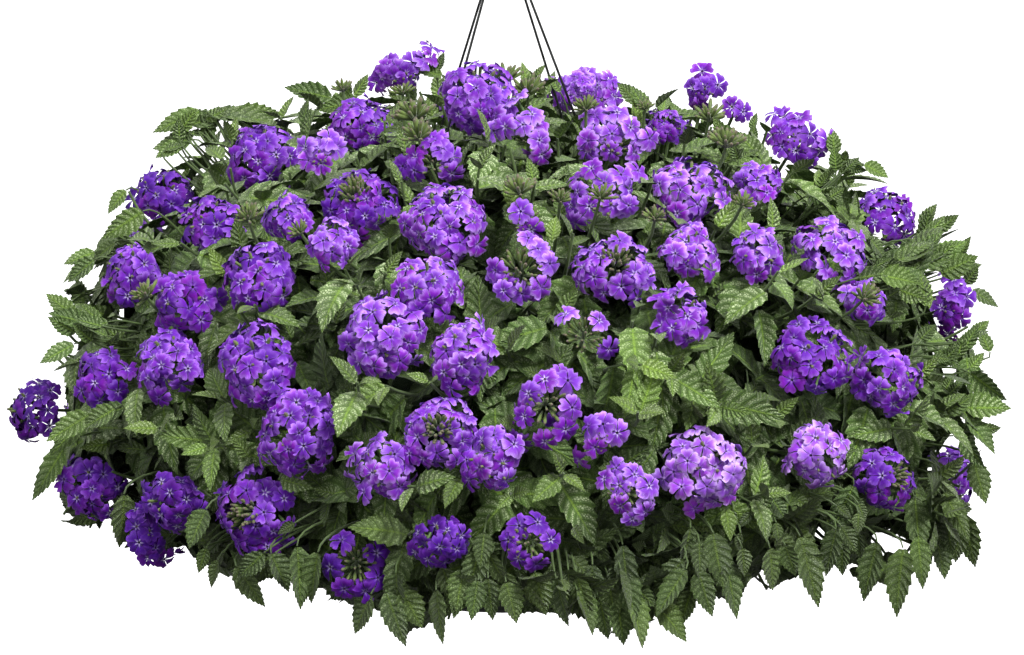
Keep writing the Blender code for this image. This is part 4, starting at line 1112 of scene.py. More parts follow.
# Gaps in the photograph's bush that show the white ground: across, down, half width, half height.
GAPS = np.array((
    (127, 484, 5, 4), (111, 505, 6, 9), (310, 548, 5, 10), (774, 563, 7, 7), (822, 533, 7, 9),
    (894, 546, 13, 5), (877, 539, 6, 4), (926, 463, 5, 4), (964, 482, 5, 6), (950, 448, 6, 8),
    (947, 371, 6, 4), (940, 265, 8, 4), (955, 245, 7, 6), (929, 294, 4, 3), (944, 328, 4, 5),
    (912, 170, 7, 4), (125, 317, 4, 4), (90, 280, 4, 6), (345, 245, 3, 3), (700, 600, 5, 8),
    (72, 345, 4, 6),
), float)


def in_a_gap(points):
    across, down = picture_places(points)
    inside = np.zeros(len(points), bool)
    for x, y, wide, high in GAPS:
        inside |= ((across - x) / wide) ** 2 + ((down - y) / high) ** 2 < 1.0
    return inside


print("outline corners", len(OUTLINE), "and gaps", len(GAPS))

# %% [markdown]
# ## The leaves in their places
# Near the surface and towards the view each leaf is the fine one. On the side that faces away it
# has fewer points across, and deeper in, where it is mostly hidden, fewer veins as well. Low down
# at the back every fourth shoot is left out too. So the triangles go where they are seen.

# %% Set the leaves of the shoots
HANGS_BELOW = -0.445
TURNED_AWAY = -0.12
THINNED_FROM = -0.1
OUTSIDE_ALLOWED = 0.14
SHADE_FROM, SHADE_OVER, SHADE_MOST = 0.02, 0.045, 0.62
# Which blade is used from which depth to which, and for shoots turned how far to the view.
LEAF_KINDS = (
    (FINE_LEAF, (0.0, 0.034), (TURNED_AWAY, 2.0)), (BACK_LEAF, (0.0, 0.034), (-2.0, TURNED_AWAY)),
    (PLAIN_LEAF, (0.034, 0.052), (-2.0, 2.0)), (DEEP_LEAF, (0.052, 1.0), (-2.0, 2.0)),
)
heaps = {}


def share_of_points(blades, test):
    """For each blade, how great a part of its points a test finds."""
    return test(blades.reshape(-1, 3)).reshape(len(blades), -1).mean(axis=1)


def pile_leaves(template, blades, feet, age, shade, most_silver):
    """Puts blades into the heap of the plant and the height that their feet are at."""
    quarter, low = quarter_of(feet), feet[:, 2] < HANGS_BELOW
    for number, name in enumerate(QUARTERS):
        for hanging in (False, True):
            mine = (quarter == number) & (low == hanging)
            count = int(mine.sum())
            if count:
                heap = heaps.setdefault(("hanging_leaves_" if hanging else "leaves_") + name, Heap())
                # How much painted highlight the swollen flesh of each leaf gets.
                silver = rng.uniform(0.0, most_silver, count)
                heap.add_copies(blades[mine], template, age=age[mine], shade=shade[mine], silver=silver)


def shoot_leaves():
    """Bends the planned leaves, kind by kind, and piles up those that are in nothing's way."""
    count = triangles = 0
    turned = np.sum(mound_normal(shoot_at) * unit(np.array(view_from()) - shoot_at), axis=1)[planned["shoot"]]
    thinned = (turned < THINNED_FROM) & (planned["base"][:, 2] < HANGS_BELOW) & (planned["shoot"] % 4 == 1)
    for template, (shallow, deep), (least, most) in LEAF_KINDS:
        chosen = (planned["depth"] >= shallow) & (planned["depth"] < deep)
        chosen &= (turned >= least) & (turned < most) & ~thinned
        leaves = leaves_chosen(planned, chosen)
        blades = bend_leaves(template, leaves)
        clear = ~in_the_way(blades)
        clear &= share_of_points(blades, outside_outline) < OUTSIDE_ALLOWED
        clear &= share_of_points(blades, in_a_gap) == 0.0
        leaves, blades = leaves_chosen(leaves, clear), blades[clear]
        shade = np.clip((leaves["depth"] - SHADE_FROM) / SHADE_OVER, 0.0, 1.0) * SHADE_MOST
        pile_leaves(template, blades, shoot_at[leaves["shoot"]], leaves["age"], shade, 1.0)
        count += len(blades)
        triangles += len(blades) * len(template[2])
    return count, triangles


print("leaves kept and their triangles", shoot_leaves())

# %% [markdown]
# ## Leaves that make the outline
# What makes the bush look like that one bush is its edge: single leaves stand out of it, and hang
# below it. Each is given by where its foot and its tip show in the picture. It is bent from the same
# blade as the rest, and a thin stem of its own runs from it into the bush. Behind each, further in,
# stand a few more of the kind, so that the edge doesn't look like a single row.

# %% List the edge leaves
# Each one's foot and tip in the picture, across and down.
EDGE_LEAVES = (
    (200, 111, 153, 130), (182, 142, 156, 157), (135, 176, 119, 187), (126, 190, 107, 212),
    (143, 211, 105, 238), (95, 252, 65, 263), (95, 259, 67, 281), (74, 316, 47, 294),
    (76, 333, 50, 318), (74, 344, 42, 361), (90, 414, 50, 439), (65, 446, 31, 497),
    (124, 494, 122, 547), (206, 509, 189, 544), (206, 548, 199, 571), (218, 560, 211, 586),
    (264, 553, 238, 577), (236, 566, 262, 603), (271, 553, 288, 589), (297, 546, 303, 603),
    (318, 552, 308, 600), (333, 566, 317, 591), (345, 582, 327, 616), (371, 594, 352, 631),
    (386, 592, 404, 641), (402, 590, 421, 624), (436, 590, 440, 639), (462, 578, 455, 614),
    (478, 580, 472, 616), (488, 578, 492, 616), (506, 582, 517, 618), (535, 572, 545, 611),
    (556, 578, 566, 621), (577, 590, 594, 629), (600, 600, 607, 637), (617, 600, 624, 640),
    (630, 592, 645, 642), (655, 603, 686, 636), (692, 590, 680, 622), (686, 569, 656, 610),
    (698, 570, 710, 612), (726, 558, 738, 615), (742, 548, 745, 574), (800, 536, 821, 608),
    (836, 528, 826, 572), (842, 540, 842, 573), (858, 532, 860, 558), (877, 542, 863, 597),
    (903, 548, 893, 612), (918, 536, 922, 586), (937, 540, 945, 577), (947, 520, 951, 553),
    (960, 520, 954, 560), (963, 514, 975, 566), (770, 548, 776, 588), (785, 545, 794, 573),
    (974, 462, 985, 502), (962, 436, 982, 468), (966, 419, 994, 452), (966, 408, 1008, 406),
    (970, 373, 1004, 400), (970, 368, 984, 353), (972, 290, 999, 305), (965, 284, 978, 266),
    (960, 256, 970, 236), (935, 232, 958, 215), (864, 164, 888, 177), (846, 170, 858, 158),
    (835, 155, 832, 128), (752, 130, 756, 114), (656, 108, 677, 88), (672, 106, 692, 76),
    (640, 104, 618, 82), (648, 112, 630, 86), (534, 80, 545, 64), (492, 82, 490, 67),
    (438, 70, 444, 52), (437, 80, 403, 101), (442, 76, 414, 66), (354, 96, 368, 74), (332, 98, 286, 87),
    (302, 124, 308, 99), (231, 119, 282, 112), (206, 120, 228, 108), (180, 132, 196, 109),
    (560, 92, 548, 76), (468, 84, 462, 66), (908, 196, 940, 211), (990, 352, 980, 326),
    (968, 340, 988, 330), (980, 430, 1000, 428), (921, 228, 936, 204), (923, 240, 947, 216),
    (918, 250, 958, 228), (900, 256, 930, 240), (926, 268, 955, 244), (918, 262, 940, 232),
    (940, 274, 976, 256), (906, 244, 924, 272), (928, 246, 944, 272), (902, 268, 928, 290),
    (926, 306, 921, 272), (962, 272, 981, 264), (908, 262, 950, 258), (899, 290, 926, 300),
    (934, 258, 966, 240), (165, 168, 128, 172), (728, 142, 714, 118), (747, 138, 738, 118),
    (972, 336, 989, 320), (972, 316, 990, 306),
)
print("listed edge leaves", len(EDGE_LEAVES))

# %% Set the edge leaves
EDGE_ROWS = 4
FOOT_STEP, FOOT_SPREAD = 13.0, 6.0
TIP_STEP, TIP_SPREAD = 17.0, 8.0
EDGE_INSET, EDGE_INSET_A_ROW = 0.012, 0.005
EDGE_LENGTH = (0.014, 0.052)
EDGE_LONGER = 1.04
EDGE_WIDE = 0.020
EDGE_WIDTHS = (0.42, 0.62)
EDGE_FACE_UP = np.array((0.0, 0.0, 0.55))
EDGE_WIRE_ROOM = 0.003
EDGE_OUTSIDE_ALLOWED = 0.2
EDGE_BEFORE_HEADS = 0.10
EDGE_SHADE, EDGE_SHADE_A_ROW = 0.10, 0.12
# The most painted highlight that an edge leaf's flesh gets.
EDGE_PAINTED_HIGHLIGHT = 0.7


def edge_places():
    """The listed leaves, and behind each a few more that stand further in."""
    listed = np.array(EDGE_LEAVES, float)
    inward = unit(listed[:, :2] - listed[:, 2:])
    places = [listed]
    for row in range(1, EDGE_ROWS):
        foot = listed[:, :2] + inward * FOOT_STEP * row + rng.normal(0.0, FOOT_SPREAD, inward.shape)
        tip = listed[:, 2:] + inward * TIP_STEP * row + rng.normal(0.0, TIP_SPREAD, inward.shape)
        places.append(np.concatenate([foot, tip], axis=1))
    return np.concatenate(places), np.repeat(np.arange(EDGE_ROWS), len(listed))


def plan_edge_leaves():
    """The edge leaves as arrays, each with the row that it is in."""
    places, row = edge_places()
    count = len(places)
    insets = EDGE_INSET + EDGE_INSET_A_ROW * row
    foot = np.array([tuple(seen_at(p[0], p[1], inset)) for p, inset in zip(places, insets)])
    step = (places[:, 2:] - places[:, :2]) * PICTURE_PITCH
    along = step[:, :1] * VIEW_RIGHT - step[:, 1:] * VIEW_UPWARD
    length = np.clip(np.linalg.norm(along, axis=1), *EDGE_LENGTH)
    along = unit(unit(along) + VIEW_FORWARD * rng.uniform(-0.35, 0.25, count)[:, None])
    up = -VIEW_FORWARD + EDGE_FACE_UP + rng.normal(0.0, 0.45, (count, 3))
    wave = np.stack([rng.uniform(0.008, 0.024, count), rng.uniform(0.0, 6.28, count)], axis=-1)
    return {
        "base": foot, "along": along, "up": unit(square_to(up, along)), "length": length * EDGE_LONGER,
        "wide": np.clip(EDGE_WIDE / length, *EDGE_WIDTHS) * rng.uniform(0.85, 1.1, count),
        "fold": rng.uniform(0.05, 0.5, count), "droop": rng.uniform(0.05, 0.30, count), "wave": wave,
        "age": rng.uniform(0.0, 0.35, count), "row": row,
    }


def at_a_wire(points):
    return wire_distance(points) <= EDGE_WIRE_ROOM


def edge_leaves():
    """The edge leaves and their blades. A listed one is kept wherever it hides no head or wire."""
    leaves = plan_edge_leaves()
    blades = bend_leaves(FINE_LEAF, leaves)
    kept = share_of_points(blades, at_a_wire) == 0.0
    kept &= share_of_points(blades, before_a_head) < EDGE_BEFORE_HEADS
    spoils = share_of_points(blades, in_a_gap) > 0.0
    spoils |= share_of_points(blades, outside_outline) > EDGE_OUTSIDE_ALLOWED
    spoils |= in_the_way(blades)
    kept &= (leaves["row"] == 0) | ~spoils
    return leaves_chosen(leaves, kept), blades[kept]


edge, edge_blades = edge_leaves()
edge_shade = EDGE_SHADE + EDGE_SHADE_A_ROW * edge["row"]
pile_leaves(FINE_LEAF, edge_blades, edge["base"], edge["age"], edge_shade, EDGE_PAINTED_HIGHLIGHT)
print("edge leaves", len(edge_blades))

# %% [markdown]
# ## The dark inside
# Behind all leaves a real bush is a tangle of stems and dead leaves that no light reaches. A rough
# body painted in the leaves' full shade colour fills that space, well inside the leaves, so nobody
# sees through the bush. It is a profile turned about the pot, a quarter for each plant, with its
# outer points moved a little.

# %% Fill the inside
INSIDE_ABOVE = (
    (0.004, -0.300), (0.090, -0.302), (0.165, -0.322), (0.215, -0.352), (0.245, -0.395), (0.255, -0.446),
)
INSIDE_ABOVE_BACK = ((0.166, -0.446), (0.163, -0.402), (0.004, -0.402))
INSIDE_BELOW = ((0.254, -0.444), (0.246, -0.485), (0.222, -0.515), (0.185, -0.535))
INSIDE_BELOW_BACK = ((0.150, -0.530), (0.166, -0.444))
INSIDE_STEPS = 14
OFF_THE_WIRES = 0.015
ROUGHNESS = 0.008
ROUGH_UP = 0.6
SHADE_BODY_ON_MAP = 0.25


def shade_body(turns, outside, inside):
    """A quarter's closed loop of profile points turned between its two wires, with a rough outside."""
    low, high = turns
    steps = INSIDE_STEPS
    count = len(outside) + len(inside)
    rings = []
    for step in range(steps + 1):
        turn = low + OFF_THE_WIRES + (high - low - 2 * OFF_THE_WIRES) * step / steps
        for number, (radius, height) in enumerate([*outside, *inside]):
            moved = 0 < number < len(outside) and 0 < step < steps
            rough = rng.uniform(-ROUGHNESS, ROUGHNESS) if moved else 0.0
            rings.append((*polar(radius + rough, turn)[:2], height + rough * ROUGH_UP))
    points = np.array(rings)
    faces = ring_faces(steps + 1, count)
    for start, turned in ((0, False), (steps * count, True)):
        for k in range(1, count - 1):
            face = (start, start + k, start + k + 1)
            faces.append(face[::-1] if turned else face)
    return points, np.array(faces)


for name, turns in zip(QUARTERS, quarter_turns()):
    for prefix, *profile in (
        ("leaves_", INSIDE_ABOVE, INSIDE_ABOVE_BACK), ("hanging_leaves_", INSIDE_BELOW, INSIDE_BELOW_BACK),
    ):
        points, faces = shade_body(turns, *profile)
        # Painted shade: the whole body has the full shade mark, so it takes the darkest leaf colour.
        nought, one = np.zeros(len(points)), np.ones(len(points))
        on_map = np.full((len(points), 2), SHADE_BODY_ON_MAP)
        heaps[prefix + name].add(points, faces, on_map, {"age": nought, "shade": one, "silver": nought})
print("dark bodies of", len(points), "points for", len(QUARTERS), "plants")

# %% Make each plant's leaves into two pieces
for name, heap in heaps.items():
    hanging = name.startswith("hanging")
    piece = heap.object(name, LEAF_SHADED if hanging else LEAF_GREEN)
    node = ("trailing_" if hanging else "foliage_") + name.rsplit("_", 1)[1]
    hand_over(piece, node)
    print(name, len(piece.data.polygons), "triangles")

# %% [markdown]
# ## The petal's finish
# Each petal is soft and matt and violet. Its lighter edge is partly its own colour and partly
# painted highlight, and the deeper ring around the throat partly its own colour and partly painted
# shade. A small white star lies in the throat, with a dark dot of painted shade where the tube
# begins. Fine lines run out from the throat. The map again runs along the petal, below nought down
# the tube, which is green at its foot.

# %% Make the petals' materials
RIM_HIGHLIGHT_EDGES = (0.60, 1.0)
RIM_HIGHLIGHT_SPAN = (0.80, 0.20)
THROAT_RING = (0.25, 0.75)
STAR_EDGES = (-0.22, 0.10)
DOT_EDGES = (0.03, 0.08)
TUBE_EDGES = (-0.30, -0.02)
STAR_WHITE = (0.74, 0.66, 0.92)
THROAT_SHADE = (0.07, 0.04, 0.10)
TUBE_GREEN = (0.11, 0.20, 0.05)


def petal_veins(tree):
    """Thin darker lines that run along a petal."""
    lines = add(tree, "ShaderNodeTexWave", wave_type="BANDS", bands_direction="X", wave_profile="SIN")
    put(tree, lines.inputs["Vector"], add(tree, "ShaderNodeUVMap", uv_map="lie").outputs[0])
    lines.inputs["Scale"].default_value = 2.4
    lines.inputs["Distortion"].default_value = 2.0
    return calc(tree, "MULTIPLY", step_between(tree, lines.outputs["Fac"], 0.5, 1.0), 0.28)


def petal_material(name, deep, pale, edge_highlight_tint, young):
    made, tree, shader = new_material(
        name, 0.6, Sheen_Weight=0.08, Sheen_Roughness=0.4, Specular_IOR_Level=0.20
    )
    across, along = lie_of(tree)
    across = off_middle(tree, across)
    tint = blend_colours(tree, mark(tree, "pale"), deep, pale)
    tint = blend_colours(tree, mark(tree, "young"), tint, young)
    # Partly the petal's own paler edge and partly painted highlight: the rim is lightened, more on paler, lit
    # florets.
    outward = calc(tree, "MAXIMUM", along, calc(tree, "MULTIPLY", across, 0.92))
    rim = step_between(tree, outward, *RIM_HIGHLIGHT_EDGES)
    rim = calc(tree, "MULTIPLY", rim, calc(tree, "MULTIPLY_ADD", mark(tree, "pale"), *RIM_HIGHLIGHT_SPAN))
    tint = blend_colours(tree, rim, tint, edge_highlight_tint)
    veins = petal_veins(tree)
    tint = blend_colours(tree, veins, tint, deep)
    # Partly the petal's own deeper eye and partly painted shade: the ring around the throat is darkened.
    throat_ring_and_shade = calc(tree, "MULTIPLY", step_between(tree, along, *THROAT_RING, 1.0, 0.0), 0.75)
    tint = blend_colours(tree, throat_ring_and_shade, tint, deep)
    star_edge = calc(tree, "SUBTRACT", 0.34, calc(tree, "MULTIPLY", across, 0.30))
    past_star = calc(tree, "SUBTRACT", along, star_edge)
    star = calc(tree, "MULTIPLY", step_between(tree, past_star, *STAR_EDGES, 1.0, 0.0), mark(tree, "star"))
    tint = blend_colours(tree, star, tint, STAR_WHITE)
    # Painted shade: a dark dot in the mouth of the tube.
    dot = calc(tree, "MULTIPLY", step_between(tree, along, *DOT_EDGES, 1.0, 0.0), 0.75)
    tint = blend_colours(tree, dot, tint, THROAT_SHADE)
    tube = calc(tree, "MULTIPLY", step_between(tree, along, *TUBE_EDGES, 1.0, 0.0), 0.9)
    tint = blend_colours(tree, tube, tint, TUBE_GREEN)
    relief = calc(tree, "MULTIPLY", veins, -3.0)
    grain = {"Scale": 2200.0, "Strength": 0.30, "Depth": 0.0004, "Relief": relief}
    skin(tree, shader, tint, {"Scale": 95.0, "Amount": 0.30}, grain, (0.50, 0.66))
    return made


# The four finishes, each with its deep colour, its pale colour, which lit florets take as painted
# light, its edge colour, partly painted highlight, and its young colour.
PETAL_COLOURS = {
    "petals_deep_violet": (
        (0.059, 0.004, 0.241), (0.177, 0.026, 0.510), (0.332, 0.116, 0.728), (0.150, 0.003, 0.302)),
    "petals_violet": (
        (0.083, 0.005, 0.297), (0.235, 0.051, 0.605), (0.428, 0.191, 0.829), (0.198, 0.005, 0.370)),
    "petals_lilac": (
        (0.116, 0.009, 0.364), (0.321, 0.102, 0.706), (0.546, 0.316, 0.920), (0.246, 0.007, 0.437)),
    "petals_pale_lilac": (
        (0.187, 0.032, 0.476), (0.449, 0.214, 0.818), (0.674, 0.465, 0.920), (0.310, 0.028, 0.515)),
}
PETALS = {name: petal_material(name, *colours) for name, colours in PETAL_COLOURS.items()}
print("petal finishes", sorted(PETALS))

# %% [markdown]
# ## One floret
# A verbena floret is a thin tube that opens into five flat lobes, each broad and notched at its
# end. One lobe is a small grid bent in polar form: how far out a point lies depends on how near it
# is to the middle line, which makes the notch. The lobes overlap a little and dip at their ends.

# %% Shape the floret
FLORET_RADIUS = 0.0102
PETAL_ROWS = (0.10, 0.28, 0.52, 0.76, 0.92, 1.0)
PETAL_SPREAD = (36.0, 31.0, 33.0, 35.0, 32.0, 25.0)
NOTCH = 0.21
CORNER = 0.10
PETALS_A_FLORET = 5
PETAL_ACROSS = (-1.0, -0.5, 0.0, 0.5, 1.0)
PETAL_POINTS = len(PETAL_ROWS) * len(PETAL_ACROSS)
TUBE_SIDES = 5
# The tube from its mouth down: radius, height and place along the map.
TUBE_RINGS = ((0.115, 0.005, 0.08), (0.075, -0.12, 0.0), (0.12, -0.90, -0.6), (0.08, -1.30, -1.0))


def petal_height(out, c, petal):
    """How high a petal stands: it arches, dips at its end and sides, and waves across."""
    dip = -0.13 * max(0.0, out - 0.45) ** 1.5 * 2.0
    arch = 0.09 * math.sin(math.pi * out) - 0.09 * c * c * out
    wave = 0.12 * out * out * math.sin(5.6 * c + 2.1 * petal)
    tilt = 0.11 * c * out
    return dip + arch + wave + tilt


def floret_template():
    """Points in floret radii with the throat at the middle and +Z outward, the map and the faces."""
    points, uv, faces = [], [], []
    for petal in range(PETALS_A_FLORET):
        first = len(points)
        turn = 2 * math.pi * petal / PETALS_A_FLORET
        for out, spread in zip(PETAL_ROWS, PETAL_SPREAD):
            for c in PETAL_ACROSS:
                angle = turn + math.radians(spread) * c
                cut = NOTCH * (1.0 - abs(c)) ** 2 + CORNER * abs(c) ** 3
                reach = out - max(0.0, out - 0.5) * 2.0 * cut
                points.append((reach * math.cos(angle), reach * math.sin(angle), petal_height(out, c, petal)))
                uv.append((0.5 + 0.5 * c, out))
        grid = np.array(grid_faces(len(PETAL_ROWS), len(PETAL_ACROSS)))
        faces.append(grid + first)
    faces.append(np.array(ring_faces(len(TUBE_RINGS), TUBE_SIDES)) + len(points))
    for radius, height, v in TUBE_RINGS:
        points += ring_points(radius, height, TUBE_SIDES)
        uv += [(k / TUBE_SIDES, v) for k in range(TUBE_SIDES)]
    return np.array(points), np.array(uv), np.concatenate(faces)


FLORET = floret_template()
# The petal that each point of a floret is in. The tube's points have a number of their own.
PETAL_OF = np.minimum(np.arange(len(FLORET[0])) // PETAL_POINTS, PETALS_A_FLORET)
print("triangles in a floret", len(FLORET[2]))

# %% Place many florets
RUFFLE_OUTWARD = 1.6


def place_florets(at, facing, turn, size, ruffle):
    """The floret at each place, facing outward: an array of (florets, points, 3)."""
    shape = np.broadcast_to(FLORET[0], (len(at), len(FLORET[0]), 3)).copy()
    out = np.hypot(FLORET[0][:, 0], FLORET[0][:, 1])
    on_petal = PETAL_OF < PETALS_A_FLORET
    shape[..., 2] += ruffle[:, PETAL_OF] * (out**RUFFLE_OUTWARD) * on_petal
    return stand(shape * size[:, None, None], at, facing, turn)


print("points in a floret", len(FLORET[0]), "of which on petals", int((PETAL_OF < PETALS_A_FLORET).sum()))

# %% [markdown]
# ## The buds
# A bud is a short green club with a purple tip. It is a tube of four rings closed to a point: five
# sides are enough for a thing so small, since smooth shading rounds them.

# %% Shape a bud
BUD_SIDES = 5
BUD_RINGS = ((0.06, 0.0), (0.090, 0.40), (0.105, 0.84), (0.06, 0.97))


def bud_template():
    """A pointed bud one unit long along +Z."""
    points, uv = [], []
    for radius, height in BUD_RINGS:
        points += ring_points(radius, height, BUD_SIDES)
        uv += [(k / BUD_SIDES, height) for k in range(BUD_SIDES)]
    sides = [(a, c, b) for a, b, c in ring_faces(len(BUD_RINGS), BUD_SIDES)]
    points.append((0.0, 0.0, 1.0))
    uv.append((0.5, 1.0))
    last = (len(BUD_RINGS) - 1) * BUD_SIDES
    tip = [(last + k, last + (k + 1) % BUD_SIDES, len(points) - 1) for k in range(BUD_SIDES)]
    return np.array(points), np.array(uv), np.array(sides + tip)


BUD = bud_template()
bud_heaps = {name: Heap() for name in QUARTERS}


def add_buds(plant, at, facing, size, slim=1.0):
    """Stands buds of given lengths at places, in the heap of one plant."""
    shapes = BUD[0] * size[:, None, None] * np.array((slim, slim, 1.0))
    bud_heaps[plant].add_copies(stand(shapes, at, facing, np.zeros(len(at))), BUD)


print("triangles in a bud", len(BUD[2]))

# %% [markdown]
# ## The heads
# Fifteen to twenty-five florets stand out from one short stem and make a dome. They are spread by
# the golden angle over the cap of a ball, which is how the plant itself packs them, and each is
# turned and tipped a little. Some heads are still opening: their middles hold tight green buds.

# %% Spread florets over a dome
def cap_directions(count, start, end):
    """Directions spread evenly over a band of a dome, from start to end degrees off its pole."""
    top, foot = math.cos(math.radians(start)), math.cos(math.radians(end))
    height = top - (top - foot) * (np.arange(count) + 0.5) / count
    wide = np.sqrt(1.0 - height**2)
    turn = GOLDEN_ANGLE * np.arange(count)
    return np.stack([wide * np.cos(turn), wide * np.sin(turn), height], axis=-1)


def head_frame(head, turn):
    swing = Vector((0.0, 0.0, 1.0)).rotation_difference(head["axis"]).to_matrix()
    return np.array(swing @ Matrix.Rotation(turn, 3, "Z"))


print("three places on a dome", cap_directions(3, 0.0, 90.0).round(2).tolist())

# %% [markdown]
# ## Heads with gaps
# Some heads are past their best or not yet full, and the photograph shows single florets with
# gaps between them. A rule gives a full dome, so the florets of these heads are listed one by one
# where they show, on a dome that bulges towards the view.

# %% Place the florets of the loose heads
# By the heads' numbers in SEEN_HEADS: each floret's place in the picture, across and down.
LOOSE_HEADS = {
    0: ((376, 83), (382, 77), (386, 68), (398, 69), (406, 73), (413, 62), (424, 60), (431, 57), (394, 77)),
    2: ((495, 131), (497, 116), (523, 125), (517, 100), (532, 115), (539, 140), (541, 154), (506, 127)),
    4: ((306, 148), (319, 148), (309, 160), (321, 163), (335, 148), (329, 140)),
    7: ((416, 157), (415, 170), (438, 140), (451, 173), (451, 157), (442, 150), (404, 166)),
    23: ((136, 511), (147, 517), (137, 527), (149, 531), (139, 542), (155, 547), (163, 558), (148, 556)),
    25: ((343, 542), (375, 554), (332, 567), (376, 577), (345, 587), (364, 589)),
    33: ((521, 212), (531, 229)),
    34: ((537, 250), (548, 264), (505, 284), (522, 292), (540, 286), (528, 240), (497, 270)),
    36: ((567, 316), (607, 348), (598, 322)),
    37: ((596, 116), (594, 135), (617, 113), (630, 128), (588, 151), (611, 151), (633, 152), (612, 134),
         (640, 142)),
    38: ((592, 170), (620, 176), (579, 192), (627, 190), (611, 205), (636, 172), (590, 206), (604, 184),
         (622, 206)),
    39: ((561, 87), (575, 79), (575, 95), (586, 75), (597, 85), (609, 81), (614, 96), (562, 103), (601, 99)),
    41: ((702, 71), (693, 88), (705, 87), (697, 101), (718, 85), (701, 106)),
    42: ((732, 107), (743, 112)),
    43: ((774, 114), (799, 118), (780, 132), (791, 124), (810, 134), (822, 149), (796, 151), (808, 162),
         (782, 147)),
    54: ((954, 280), (946, 299), (955, 294), (966, 297), (950, 314), (960, 318), (948, 334), (942, 308)),
    58: ((526, 415), (545, 381), (566, 382), (570, 407), (564, 427), (545, 438), (521, 438), (530, 394)),
    59: ((590, 427), (616, 433), (581, 458), (603, 425), (596, 446)),
    60: ((617, 470), (620, 486), (645, 491), (632, 517), (634, 476), (606, 480), (644, 510), (621, 505)),
    61: ((510, 540), (537, 524), (549, 540), (536, 562), (519, 557), (520, 527)),
}


BULGE, BULGE_BACK = 0.75, 0.25
ENOUGH_FLORETS = 6
BEHIND_SPREAD, BEHIND_BY = 0.0065, 0.008


def florets_by_picture(number, head):
    """Middles of the florets that the picture shows, and behind the larger heads' a few more."""
    places = np.array(LOOSE_HEADS[number], float)
    toward = np.array(tuple((view_from() - head["at"]).normalized()))
    across, down = picture_places(np.array(head["at"])[None])
    right = (places[:, :1] - across) * PICTURE_PITCH
    up = (down - places[:, 1:]) * PICTURE_PITCH
    reach = max(head["full"] * 1.1, float(np.hypot(right, up).max()))
    bulge = np.sqrt(np.maximum(reach**2 - right**2 - up**2, 0.0)) * BULGE - BULGE_BACK * reach
    at = np.array(head["at"]) + right * VIEW_RIGHT + up * VIEW_UPWARD + bulge * toward
    if len(at) > ENOUGH_FLORETS:
        behind = at + rng.normal(0.0, BEHIND_SPREAD, at.shape) - BEHIND_BY * toward
        at = np.concatenate([at, behind[::2]])
    return at


print("loose heads", len(LOOSE_HEADS), "with", sum(len(places) for places in LOOSE_HEADS.values()), "florets")

# %% Work out a head's florets and buds
LEFTMOST_HEAD = 17
# Heads whose middle is still closed, by their numbers in SEEN_HEADS.
OPENING_HEADS = (6, 7, 24, 25, 27, 34, 35, 38, 52, 56, 36)
CLOSED_MIDDLE = 27.0
DOME_FOOT = 100.0
FLORET_OF_HEAD = 0.43
FLORET_SINKS = 0.35
FULLER = 1.03
LEFTMOST_LARGER = 1.10
FEWEST_FLORETS = 6
CROWDING = 1.35
FACE_OUT = np.array((0.0, 0.0, 0.34))
DRAWN_BACK = 0.38
BUDS, BUDS_IN_OPENING = 8, 30
BUD_CONE = 60.0
BUDS_OUT, OPENING_BUDS_OUT, LOOSE_BUDS_OUT = 0.40, 0.45, 0.30
BUD_LENGTH = (0.34, 0.46)
FLORET_SIZES = (0.92, 1.13)
FACING_SPREAD = 0.29
DEPTH_SPREAD = (-0.22, 0.07)
SQUEEZE_WIDE, SQUEEZE_HIGH = (0.88, 1.10), (0.74, 0.94)


def dome_middle(number, head, radius):
    """A seen head stands with its whole dome, and not its foot, where it shows in the picture."""
    middle = np.array(head["at"])
    if number < len(SEEN_HEADS) and number != LEFTMOST_HEAD:
        toward, axis = unit(np.array(view_from()) - middle), np.array(head["axis"])
        middle = middle - DRAWN_BACK * radius * (axis - toward * (axis @ toward))
    return middle


